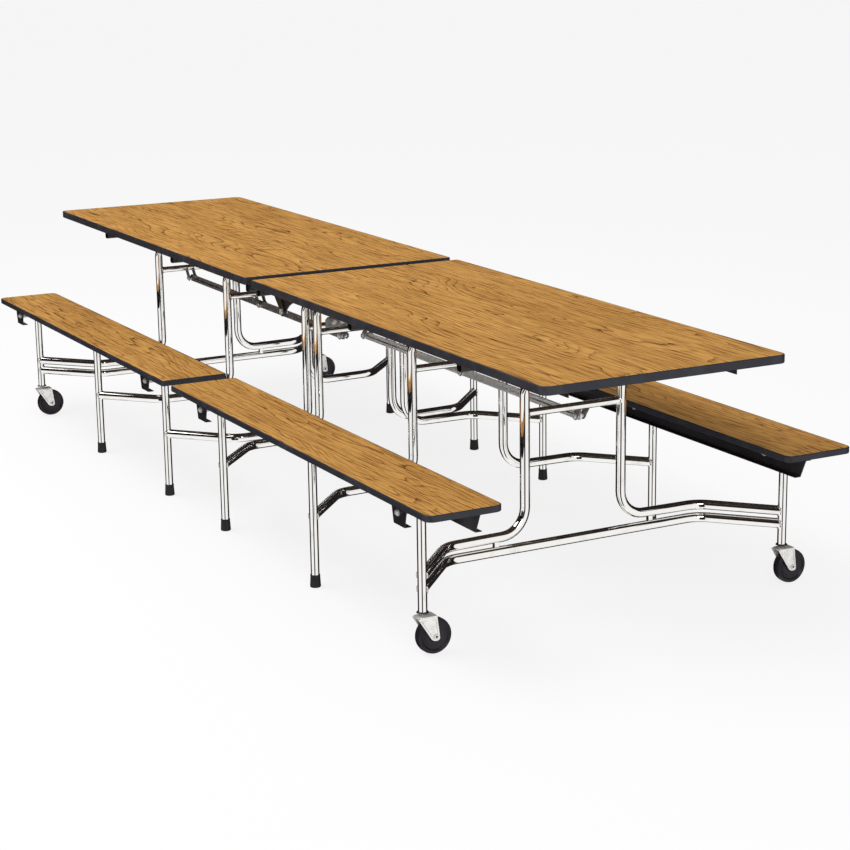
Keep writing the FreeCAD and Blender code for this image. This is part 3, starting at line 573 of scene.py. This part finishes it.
frames = {"inner": 0.045, "mid": 0.710, "caster": 1.375}
arm_heights = {"inner": 0.213, "caster": 0.219}
leg_radius = 0.0143
leg_side = 0.158
foot_bend = 0.075
kink_bend = 0.085
kink_side = 0.417
kink_outward = 0.010
post_side = 0.586
post_offset = 0.195
pinch_start = 0.612
pinch_end = 0.652
leg_pivot = 0.676
flat_half_width = 0.019
flat_half_thickness = 0.004
arm_cope = 0.006


def bend_tube(name, radius, points, bends, sides=28, steps=9):
    """Run a ring through the points, spun through a bend at each turn; stays open."""
    points = [Vector(p) for p in points]
    heading = (points[1] - points[0]).to_track_quat("Z", "Y").to_euler()
    bpy.ops.object.select_all(action="DESELECT")
    bpy.ops.mesh.primitive_circle_add(vertices=sides, radius=radius, location=points[0],
                                      rotation=heading)
    tube = start_piece(name)
    here = points[0]
    for before, corner, after, bend in zip(points, points[1:], points[2:], bends):
        ahead = (corner - before).normalized()
        onwards = (after - corner).normalized()
        angle = ahead.angle(onwards)
        reach = bend * math.tan(angle / 2)
        turn_start = corner - ahead * reach
        axis = ahead.cross(onwards).normalized()
        bpy.ops.mesh.extrude_region_move(TRANSFORM_OT_translate={"value": turn_start - here})
        bpy.ops.mesh.spin(steps=steps, angle=-angle, axis=axis,
                          center=turn_start + axis.cross(ahead) * bend)
        here = corner + onwards * reach
    bpy.ops.mesh.extrude_region_move(TRANSFORM_OT_translate={"value": points[-1] - here})
    return tube


def next_ring(centre, rise, wide, thick):
    """Lift a copy of the selected ring, and scale it across X and Y."""
    bpy.ops.mesh.extrude_region_move(TRANSFORM_OT_translate={"value": (0, 0, rise)})
    bpy.ops.transform.resize(value=(wide, thick, 1), center_override=centre)


def cap_ends():
    """Close the selected ring, and the open ring at the tube's other end."""
    bpy.ops.mesh.edge_face_add()
    bpy.ops.mesh.select_all(action="DESELECT")
    bpy.ops.mesh.select_non_manifold(extend=False)
    bpy.ops.mesh.edge_face_add()


def post_and_kink(pattern, side, height):
    """The places where an arm or a brace meets its post, and where it is bent."""
    x = frames[pattern]
    return (Vector((x + post_offset, side * post_side, height)),
            Vector((x + kink_outward, side * kink_side, height)))


def bent_leg(pattern, side):
    x = frames[pattern]
    height = arm_heights[pattern]
    end, kink = post_and_kink(pattern, side, height)
    end += (kink - end).normalized() * arm_cope
    route = [end, kink, (x, side * leg_side, height), (x, side * leg_side, pinch_start)]
    leg = bend_tube(f"leg_{side}", leg_radius, route, (kink_bend, foot_bend))
    steps = 8
    wide, thick = leg_radius, leg_radius
    z = pinch_start
    for step in range(1, steps + 1):
        share = (1 - math.cos(math.pi * step / steps)) / 2
        new_wide = leg_radius + (flat_half_width - leg_radius) * share
        new_thick = leg_radius + (flat_half_thickness - leg_radius) * share
        rise = (pinch_end - pinch_start) / steps
        z += rise
        next_ring((x, side * leg_side, z), rise, new_wide / wide, new_thick / thick)
        wide, thick = new_wide, new_thick
    rise = leg_pivot - z
    next_ring((x, side * leg_side, leg_pivot), rise, 1, 1)
    z = leg_pivot
    for step in range(1, steps):
        swing = math.pi / 2 * step / steps
        new_wide = flat_half_width * math.cos(swing)
        rise = leg_pivot + flat_half_width * math.sin(swing) - z
        z += rise
        next_ring((x, side * leg_side, z), rise, new_wide / wide, 1)
        wide = new_wide
    cap_ends()
    return close_piece(leg, chrome, 40)


def join_pieces(pieces, name):
    bpy.ops.object.select_all(action="DESELECT")
    for piece in pieces:
        piece.select_set(True)
    bpy.context.view_layer.objects.active = pieces[0]
    bpy.ops.object.join()
    pieces[0].name = name
    return pieces[0]


half_turn = {"left": Matrix.Rotation(math.pi, 4, "Z"), "right": Matrix.Identity(4)}


def copy_piece(pattern, name, place):
    """A copy with its own mesh, moved by the matrix."""
    mesh = pattern.data.copy()
    mesh.transform(place)
    copied = bpy.data.objects.new(name, mesh)
    scene.collection.objects.link(copied)
    return copied


def frame_copies(pattern, made_at, part, names):
    """Put a copy of one frame's part on each named frame of both halves."""
    copies = {}
    for half, spin in half_turn.items():
        for name in names:
            along_table = Matrix.Translation((frames[name] - frames[made_at], 0, 0))
            copied = copy_piece(pattern, f"{half}_{name}_{part}", spin @ along_table)
            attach(copied, f"{half}_{name}_frame")
            copies[f"{half}_{name}"] = copied
    bpy.data.objects.remove(pattern)
    return copies


alike = {"inner": ("inner", "mid"), "caster": ("caster",)}
for pattern, names in alike.items():
    pair = join_pieces([bent_leg(pattern, -1), bent_leg(pattern, 1)], "legs")
    for name, copied in frame_copies(pair, pattern, "leg_tubes", names).items():
        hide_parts(f"{name}_legs")


# ---------------------------------------------------------- the bench posts
# Upright chromed tube. The end frames' posts stop above their casters, and
# the others stand in rubber glides.

post_radius = 0.0127
post_top = 0.410
post_rim = 0.002
post_bore = 0.03
glide_floor = 0.008
caster_height = 0.118


def upright_post(pattern, side, bottom):
    x, y = frames[pattern] + post_offset, side * post_side
    post = bend_tube(f"post_{side}", post_radius, [(x, y, bottom), (x, y, post_top)], ())
    inside = 1 - post_rim / post_radius
    next_ring((x, y, post_top), 0, inside, inside)
    bpy.ops.mesh.extrude_region_move(TRANSFORM_OT_translate={"value": (0, 0, -post_bore)})
    bpy.ops.mesh.edge_face_add()
    select_by(post, "VERT", lambda v: abs(v.co.z - bottom) < 1e-6)
    bpy.ops.mesh.edge_face_add()
    return close_piece(post, chrome, 40)


for pattern, bottom in (("inner", glide_floor), ("caster", caster_height)):
    pair = join_pieces([upright_post(pattern, side, bottom) for side in (-1, 1)], "posts")
    for name, copied in frame_copies(pair, pattern, "post_tubes", alike[pattern]).items():
        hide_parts(f"{name}_posts")


# --------------------------------------------------- the cross tubes and brace
# A thin tube is welded between the legs of each frame. The end frames also
# have a low brace from post to post, held off the arms by two square spacers.

cross_radius = 0.011
cross_height = 0.560
brace_radius = 0.0143
brace_height = 0.181
spacer_half = 0.007
spacer_side = 0.255
spacer_round = 0.0012


def straight_tube(name, radius, start, end, sides=28):
    tube = bend_tube(name, radius, [start, end], (), sides)
    cap_ends()
    return close_piece(tube, chrome, 40)


def cross_tube(pattern):
    x = frames[pattern]
    inside = leg_side - leg_radius / 2
    return straight_tube("cross_tube", cross_radius, (x, -inside, cross_height),
                         (x, inside, cross_height), 24)


def low_brace():
    """The brace below the arms of an end frame, with its two spacers."""
    ends = []
    for side in (-1, 1):
        end, kink = post_and_kink("caster", side, brace_height)
        ends.append((end + (kink - end).normalized() * arm_cope, kink))
    route = [ends[0][0], ends[0][1], ends[1][1], ends[1][0]]
    brace = bend_tube("brace", brace_radius, route, (kink_bend, kink_bend))
    cap_ends()
    parts = [close_piece(brace, chrome, 40)]
    arm = arm_heights["caster"]
    for side in (-1, 1):
        place = (frames["caster"] + kink_outward / 2, side * spacer_side, (brace_height + arm) / 2)
        bpy.ops.object.select_all(action="DESELECT")
        bpy.ops.mesh.primitive_cube_add(size=2 * spacer_half, location=place)
        bpy.context.object.scale.z = (arm - brace_height) / (2 * spacer_half)
        spacer = start_piece("spacer")
        bpy.ops.mesh.bevel(offset=spacer_round, segments=2, affect="EDGES")
        parts.append(close_piece(spacer, chrome, 40))
    return join_pieces(parts, "brace")


cross_tubes = frame_copies(cross_tube("inner"), "inner", "cross_tube", frames)
braces = frame_copies(low_brace(), "caster", "low_brace", ("caster",))
for name, copied in (*cross_tubes.items(), *braces.items()):
    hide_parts(f"{name}_cross_tubes")


# ------------------------------------------------------------ the weld beads
# A bead lies in the saddle where one tube is welded to the side of another.
# It was chromed with the frame.

bead_radius = 0.0021
bead_gap = 0.0004
ripple_height = 0.00035
ripples = 26


def weld_bead(tube_radius, main_radius, place, heading):
    """A ring round the end of a tube, laid against the side of an upright tube."""
    bpy.ops.object.select_all(action="DESELECT")
    bpy.ops.mesh.primitive_torus_add(major_radius=tube_radius + bead_gap, minor_radius=bead_radius,
                                     major_segments=40, minor_segments=8)
    bead = start_piece("bead")
    mesh = bmesh.from_edit_mesh(bead.data)
    for vertex in mesh.verts:
        level = min(abs(vertex.co.x), main_radius)
        ripple = ripple_height * math.sin(ripples * math.atan2(vertex.co.y, vertex.co.x))
        vertex.co.z += math.sqrt(main_radius ** 2 - level ** 2) + ripple
    bmesh.update_edit_mesh(bead.data)
    close_piece(bead, chrome, 50)
    sideways = Vector((0, 0, 1)).cross(heading).normalized()
    turned = Matrix((sideways, (0, 0, 1), heading)).transposed().to_4x4()
    bead.data.transform(Matrix.Translation(place) @ turned)
    return bead


def frame_welds(pattern):
    beads = []
    for side in (-1, 1):
        tubes = [(leg_radius, arm_heights[pattern])]
        if pattern == "caster":
            tubes.append((brace_radius, brace_height))
        for radius, height in tubes:
            end, kink = post_and_kink(pattern, side, height)
            beads.append(weld_bead(radius, post_radius, end, (kink - end).normalized()))
        at_leg = Vector((frames[pattern], side * leg_side, cross_height))
        beads.append(weld_bead(cross_radius, leg_radius, at_leg, Vector((0, -side, 0))))
    return join_pieces(beads, "welds")


for pattern, names in alike.items():
    frame_copies(frame_welds(pattern), pattern, "weld_beads", names)


# ----------------------------------------------------- the bolts and their nuts
# Plated hex bolts with washers: one through each leg's ears, and three under
# each seat with spacer sleeves between the posts and the pressed steel.

def turned_piece(name, rings, material, sides=32, smooth_angle=30):
    """Stack rings of (height, radius) along Z, capped, or closed on themselves."""
    height, radius = first = rings[0]
    bpy.ops.object.select_all(action="DESELECT")
    bpy.ops.mesh.primitive_circle_add(vertices=sides, radius=radius, location=(0, 0, height))
    turned = start_piece(name)
    for new_height, new_radius in rings[1:]:
        ratio = new_radius / radius
        next_ring((0, 0, new_height), new_height - height, ratio, ratio)
        height, radius = new_height, new_radius
    if rings[-1] != first:
        bpy.ops.mesh.edge_face_add()
        select_by(turned, "VERT", lambda v: abs(v.co.z - first[0]) < 1e-6
                  and abs(v.co.xy.length - first[1]) < 1e-6)
        bpy.ops.mesh.edge_face_add()
    return close_piece(turned, material, smooth_angle)


hex_radius = 0.0086
hex_crown = 0.86
washer_radius = 0.0095
washer_sheet = 0.0012
washer_rim = 0.94
sleeve_rim = 0.94
thread_tip = 0.85
shank_radius = 0.0049
head_height = 0.005
head_chamfer = 0.0009
thread_stub = 0.0022
thread_chamfer = 0.0006
sleeve_chamfer = 0.0005


def hex_end(start, height, stub):
    """A washer, a hexagon with its corners cut, and what stands out of a nut."""
    step = math.copysign(1, height)
    top = start + height
    seat = start + washer_sheet * step
    parts = [
        turned_piece("washer", [(start, washer_radius),
                                (start + washer_sheet * 0.7 * step, washer_radius),
                                (seat, washer_radius * washer_rim)], zinc, 24),
        turned_piece("hexagon", [(seat, hex_radius), (top - head_chamfer * step, hex_radius),
                                 (top, hex_radius * hex_crown)], zinc, 6)]
    if stub:
        parts.append(turned_piece("thread", [(top - 0.001 * step, shank_radius),
                                             (top + (stub - thread_chamfer) * step, shank_radius),
                                             (top + stub * step, shank_radius * thread_tip)],
                                  zinc, 20))
    return parts


def across_table(side):
    """Turns what is modelled along Z to lie along Y, outwards on that side."""
    return Matrix.Rotation(-side * math.pi / 2, 4, "X")


def place_all(pattern, name, places):
    """One piece made of a copy of the pattern at each place."""
    copies = [copy_piece(pattern, name, place) for place in places]
    bpy.data.objects.remove(pattern)
    return join_pieces(copies, name)


def sleeve(low, high, radius=0.008):
    rim = radius * sleeve_rim
    return turned_piece("sleeve", [(low, rim), (low + sleeve_chamfer, radius),
                                   (high - sleeve_chamfer, radius), (high, rim)], zinc, 28)


ear_face = 0.0075
leg_bolt = join_pieces([*hex_end(ear_face, head_height, 0),
                        *hex_end(-ear_face, -head_height, thread_stub),
                        sleeve(-ear_face, ear_face, shank_radius)], "leg_bolt")
leg_bolt_places = [Matrix.Translation((x, side * leg_side, leg_pivot)) @ across_table(side)
                   for x in frames.values() for side in (-1, 1)]
bolt_rows = place_all(leg_bolt, "bolt_row", leg_bolt_places)
for half, spin in half_turn.items():
    bolts = copy_piece(bolt_rows, f"{half}_leg_bolt_row", spin)
    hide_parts(f"{half}_leg_bolts")
    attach(bolts, f"{half}_top")
bpy.data.objects.remove(bolt_rows)

bench_pivot = 0.400
web_face = 0.516
web_back = 0.518
post_gap = (0.5728, 0.5992)
hanger_face = 0.652
hanger_back = 0.654


def bench_bolt(frame_name):
    parts = [*hex_end(web_face, -head_height, 0), sleeve(web_back, post_gap[0]),
             sleeve(post_gap[0], post_gap[1], shank_radius)]
    if frame_name == "mid":
        parts += hex_end(post_gap[1], head_height, thread_stub)
    else:
        parts += [sleeve(post_gap[1], hanger_face), *hex_end(hanger_back, head_height, thread_stub)]
    return join_pieces(parts, f"bench_bolt_{frame_name}")


seats = {"left_front": (-1, -1), "left_back": (-1, 1), "right_front": (1, -1), "right_back": (1, 1)}
bench_bolts = {name: bench_bolt(name) for name in frames}
for seat, (end, side) in seats.items():
    row = []
    for name, bolt in bench_bolts.items():
        pivot = Matrix.Translation((end * (frames[name] + post_offset), 0, bench_pivot))
        row.append(copy_piece(bolt, "bolt", pivot @ across_table(side)))
    pivots = join_pieces(row, f"{seat}_bench_bolts")
    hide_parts(f"{seat}_bench_pivots")
    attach(pivots, f"{seat}_bench")
for bolt in bench_bolts.values():
    bpy.data.objects.remove(bolt)


# -------------------------------------------------- the lugs and the lock plate
# Two plates below each cross tube hold the link bar's bolt between collars. An
# upright plate with two bolts stands on the tube beside the seam, for the lock.

dull_steel = plated("dull_steel", (0.30, 0.282, 0.275), (0.15, 0.138, 0.135), 0.30)
link_side = 0.035
link_pin = (frames["inner"] - 0.027, 0.524)
lug_nose = 0.011
lug_sheet = 0.003
lug_half = 0.0145
lug_stub = 0.0015
bar_half = 0.003
collar_radius = 0.0075
collar_gap = 0.0005
plate_edge = 0.0005


def flat_plate(name, corners, rounds, thickness, edge, material):
    """A plate cut to its corners, with some of them rounded and its edges eased."""
    bpy.ops.object.select_all(action="DESELECT")
    bpy.ops.mesh.primitive_circle_add(vertices=len(corners), radius=0.05, fill_type="NGON")
    plate = start_piece(name)
    mesh = bmesh.from_edit_mesh(plate.data)
    for vertex, corner in zip(mesh.verts, corners):
        vertex.co = corner
    bmesh.update_edit_mesh(plate.data)
    for corner, amount in rounds:
        select_by(plate, "VERT", lambda v: (v.co - Vector(corner)).length < 1e-6)
        bpy.ops.mesh.bevel(offset=amount, segments=6, affect="VERTICES")
    bpy.ops.mesh.select_all(action="SELECT")
    bpy.ops.mesh.extrude_region_move(TRANSFORM_OT_translate={"value": thickness})
    bpy.ops.mesh.select_all(action="SELECT")
    bpy.ops.mesh.normals_make_consistent(inside=False)
    direction = Vector(thickness).normalized()
    select_by(plate, "EDGE", lambda e: abs((e.verts[0].co - e.verts[1].co).dot(direction)) < 1e-6)
    bpy.ops.mesh.bevel(offset=edge, segments=2, affect="EDGES")
    return close_piece(plate, material, 30)


def link_lug():
    tube = Vector((frames["inner"], 0, cross_height))
    pin = Vector((link_pin[0], 0, link_pin[1]))
    slope = (pin - tube).normalized()
    square = Vector((slope.z, 0, -slope.x))
    low = pin + slope * lug_nose
    parts = []
    for start in (link_side - lug_half, link_side + lug_half - lug_sheet):
        shift = Vector((0, start, 0))
        corners = [tube + square * cross_radius + shift, tube - square * cross_radius + shift,
                   low - square * lug_nose + shift, low + square * lug_nose + shift]
        rounds = [(corners[2], lug_nose * 0.8), (corners[3], lug_nose * 0.8)]
        parts.append(flat_plate("lug", corners, rounds, (0, lug_sheet, 0), plate_edge, dull_steel))
    bolt = [*hex_end(lug_half, head_height, lug_stub), *hex_end(-lug_half, -head_height, 0),
            sleeve(bar_half + collar_gap, lug_half - lug_sheet, collar_radius),
            sleeve(lug_sheet - lug_half, -bar_half - collar_gap, collar_radius),
            sleeve(-lug_half, lug_half, shank_radius)]
    for part in bolt:
        part.data.transform(Matrix.Translation((link_pin[0], link_side, link_pin[1])) @ across_table(1))
    return join_pieces(parts + bolt, "lug")


for name, copied in frame_copies(link_lug(), "inner", "link_lug", frames).items():
    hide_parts(f"{name}_cross_tubes")

lock_near, lock_far = -0.035, -0.128
lock_top = 0.606
lock_bevel = 0.009
lock_half = 0.002
lock_stub = 0.002


def lock_plate():
    x = frames["inner"] - lock_half
    outline = [(lock_far, cross_height), (lock_near, cross_height), (lock_near, lock_top - lock_bevel),
               (lock_near - lock_bevel, lock_top), (lock_far + lock_bevel, lock_top),
               (lock_far, lock_top - lock_bevel)]
    parts = [flat_plate("lock", [(x, y, z) for y, z in outline], (), (2 * lock_half, 0, 0),
                        plate_edge, dull_steel)]
    for share in (1 / 3, 2 / 3):
        place = (frames["inner"], lock_near + (lock_far - lock_near) * share, lock_top - 2 * lock_bevel)
        lying = Matrix.Translation(place) @ Matrix.Rotation(math.pi / 2, 4, "Y")
        for part in (*hex_end(lock_half, head_height, 0),
                     *hex_end(-lock_half, -head_height, lock_stub)):
            part.data.transform(lying)
            parts.append(part)
    return join_pieces(parts, "lock")


for name, copied in frame_copies(lock_plate(), "inner", "lock_plate", ("inner",)).items():
    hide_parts(f"{name}_cross_tubes")


# -------------------------------------------------------------- the glides
# Black rubber cups, moulded hollow and pushed on the feet of the middle and
# inner frames' posts. Each stands on a flat sole with a rounded edge.

rubber = moulded("glide_rubber", (0.012, 0.012, 0.013), (0.030, 0.029, 0.029), 0.50, 700.0, 0.0002)
glide_rings = [(0.0, 0.0115), (0.0, 0.0135), (0.0007, 0.0150), (0.0025, 0.0160), (0.0085, 0.0158),
               (0.0092, 0.0152), (0.0100, 0.0156), (0.0345, 0.0142), (0.0352, 0.0147),
               (0.0372, 0.0146), (0.0380, 0.0139), (0.0380, 0.01275), (0.0080, 0.01275)]
glide = turned_piece("glide", glide_rings, rubber, 36)
glide_places = [Matrix.Translation((frames["inner"] + post_offset, side * post_side, 0))
                for side in (-1, 1)]
glide_pair = place_all(glide, "glide_pair", glide_places)
for name, copied in frame_copies(glide_pair, "inner", "glide_cups", alike["inner"]).items():
    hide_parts(f"{name}_glides")


# ----------------------------------------------------------- the link bars
# A flat plated steel bar in each half keeps its three frames parallel. It turns
# on the lugs' bolts. The left one is painted darker than the right one, as painted shade under its
# tabletop.

bar_plates = {"right": plated("bright_bar", (0.96, 0.95, 0.92), (0.82, 0.80, 0.77), 0.30),
              "left": plated("shaded_dark_bar", (0.36, 0.325, 0.325), (0.20, 0.172, 0.172), 0.30)}
for half, bar_plate in bar_plates.items():
    dress(f"{half}_link_bar", bar_plate)
    soften(f"{half}_link_bar", 0.0008)


# --------------------------------------------------------------- the seats
# Four narrow boards of the same laminate as the tops, with the same vinyl band
# moulded round each. The grain runs along the seat.

seat_shift = {"left_front": (0.2, 0.9, 0), "left_back": (3.3, 0.35, 0),
              "right_front": (1.1, 1.63, 0), "right_back": (4.7, 0.05, 0)}
for seat, shift in seat_shift.items():
    board = f"{seat}_bench_board"
    half = seat.split("_")[0]
    dress(board, laminate(f"{board}_laminate", middle_height(board), shift, seat_leaf))
    band = edge_band(f"{seat}_bench_edge", outwards[half])
    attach(band, f"{seat}_bench")


# -------------------------------------------------- the steel under a seat
# A long pressed beam and two short hangers, enamelled black, hang each seat
# on its pivot bolts.

beam_enamel = enamelled("beam_enamel", (0.018, 0.015, 0.019), (0.026, 0.022, 0.026), 0.30)
for seat in seats:
    dress(f"{seat}_bench_beam", beam_enamel)
    soften(f"{seat}_bench_beam", 0.0007)


# ----------------------------------------------------------- the board screws
# Zinc plated pan-head screws hold the pressed steel to the boards from below,
# in rows along the flanges of the rails and the beams.

screw_head = [(0.0, 0.0045), (-0.0008, 0.0044), (-0.0017, 0.0036), (-0.0021, 0.0022),
              (-0.0021, 0.0013), (-0.0012, 0.0010)]
top_screw_height = 0.7235
flange_shift = 0.0165
flange_sides = (-0.330, -0.215, -0.075, 0.075, 0.215, 0.330)
rail_side = 0.277
rail_rows = [0.185 + 0.19 * count for count in range(9)]
rail_clearance = 0.03
seat_screw_height = 0.420
seat_screw_side = 0.536
seat_rows = [0.09 + 0.16 * count for count in range(11)]


def screw_row(name, places):
    return place_all(turned_piece("screw", screw_head, zinc, 14), name,
                     [Matrix.Translation(place) for place in places])


for half, end in outwards.items():
    under_top = [(end * (x + shift), y, top_screw_height) for x in frames.values()
                 for shift in (-flange_shift, flange_shift) for y in flange_sides]
    under_top += [(end * row, side * rail_side, top_screw_height)
                  for row in rail_rows for side in (-1, 1)
                  if all(abs(row - x) > rail_clearance for x in frames.values())]
    screws = screw_row(f"{half}_top_screws", under_top)
    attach(screws, f"{half}_top")
for seat, (end, side) in seats.items():
    screws = screw_row(f"{seat}_bench_screws",
                       [(end * row, side * seat_screw_side, seat_screw_height) for row in seat_rows])
    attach(screws, f"{seat}_bench")


# ------------------------------------------------------------- the casters
# A plated swivel fork of pressed sheet hangs below a ball race. A hollow rivet
# is the axle of its solid rubber wheel; its hollow is a black core, as painted shade.

caster_plate = plated("caster_plate", (0.92, 0.91, 0.88), (0.78, 0.765, 0.73), 0.20)
wheel_rubber = moulded("wheel_rubber", (0.012, 0.008, 0.013), (0.034, 0.028, 0.034), 0.36, 500.0,
                       0.0002)
wheel_radius = 0.050
caster_trail = 0.030
fork_outside = 0.019
fork_sheet = 0.003
crown_low = 0.1055
crown_front = -0.023
crown_back = 0.034
cheek_foot = 0.0385
cheek_rim = 0.0042
press_slope, press_depth = 0.0014, 0.0010
shaded_bore_radius = 0.0036
shaded_bore_end = 0.0196


def fork_cheek(side):
    """One side of the fork, narrowed to the axle, with its middle pressed in."""
    outline = [(crown_front, crown_low), (crown_back, crown_low), (caster_trail + 0.0122, cheek_foot),
               (caster_trail - 0.0105, cheek_foot)]
    x = side * (fork_outside - fork_sheet)
    corners = [(x, y, z) for y, z in outline]
    rounds = [(corners[2], 0.0095), (corners[3], 0.0085)]
    cheek = flat_plate("cheek", corners, rounds, (side * fork_sheet, 0, 0), 0.0007, caster_plate)
    bpy.context.view_layer.objects.active = cheek
    cheek.select_set(True)
    bpy.ops.object.mode_set(mode="EDIT")
    select_by(cheek, "FACE", lambda f: f.normal.x * side > 0.99 and f.calc_area() > 1e-4)
    bpy.ops.mesh.inset(thickness=cheek_rim)
    bpy.ops.mesh.inset(thickness=press_slope, depth=-press_depth)
    return close_piece(cheek, caster_plate, 30)


def fork_crown():
    corners = [(-fork_outside, crown_front, crown_low), (fork_outside, crown_front, crown_low),
               (fork_outside, crown_back, crown_low), (-fork_outside, crown_back, crown_low)]
    rounds = [(corners[0], 0.012), (corners[1], 0.012)]
    return flat_plate("crown", corners, rounds, (0, 0, fork_sheet), 0.0010, caster_plate)


race_rings = [(0.1085, 0.0175), (0.1087, 0.0218), (0.1098, 0.0230), (0.1118, 0.0230), (0.1124, 0.0218),
              (0.1124, 0.0192), (0.1138, 0.0192), (0.1138, 0.0216), (0.1144, 0.0226),
              (0.1164, 0.0226), (0.1174, 0.0214), (0.1174, 0.0130)]
cup_rings = [(0.1174, 0.0131), (0.1174, 0.0170), (0.1192, 0.0166), (0.1206, 0.0150),
             (0.1208, 0.0131), (0.1174, 0.0131)]
half_axle = [(0.0190, 0.0050), (0.0190, 0.0075), (0.0204, 0.0073), (0.0215, 0.0064),
             (0.0219, 0.0048), (0.0215, 0.0038), (0.0194, 0.0030)]
axle_rings = [(-a, b) for a, b in half_axle[::-1]] + half_axle
half_tread = [(0.0140, 0.0053), (0.0140, 0.0130), (0.0134, 0.0142), (0.0094, 0.0170), (0.0090, 0.0292),
              (0.0104, 0.0322), (0.0105, 0.0364), (0.0130, 0.0392), (0.0137, 0.0402),
              (0.0137, 0.0422), (0.0129, 0.0430), (0.0134, 0.0442), (0.0131, 0.0466),
              (0.0113, 0.0486), (0.0067, 0.0497)]
tread = [(-a, b) for a, b in half_tread] + [(0.0, wheel_radius)] + half_tread[::-1]

sideways = Matrix.Translation((0, caster_trail, wheel_radius)) @ Matrix.Rotation(math.pi / 2, 4, "Y")
# The black enamel bore's ends show past the axle's caps as dark discs: painted shade for the rivet's
# hollow.
axle = join_pieces([turned_piece("axle", axle_rings, caster_plate, 28),
                    turned_piece("bore", [(-shaded_bore_end, shaded_bore_radius), (shaded_bore_end, shaded_bore_radius)],
                                 black_enamel, 28)],
                   "axle")
axle.data.transform(sideways)
stem_cup = turned_piece("stem_cup", cup_rings, black_enamel, 36)
fork = join_pieces([fork_crown(), fork_cheek(-1), fork_cheek(1), axle,
                    turned_piece("race", race_rings, caster_plate, 44), stem_cup], "fork")
wheel = turned_piece("wheel", tread + tread[:1], wheel_rubber, 72, 24)
wheel.data.transform(sideways)
for seat, (end, side) in seats.items():
    below_post = Matrix.Translation((end * (frames["caster"] + post_offset), side * post_side, 0))
    for pattern, part, slot, body in ((fork, "fork", "zinc", "swivel"),
                                      (wheel, "wheel", "wheel_rubber", "wheel")):
        copied = copy_piece(pattern, f"{seat}_caster_{part}_piece", below_post)
        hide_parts(f"{seat}_caster_{part}")
        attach(copied, f"{seat}_{body}")
for pattern in (fork, wheel):
    bpy.data.objects.remove(pattern)
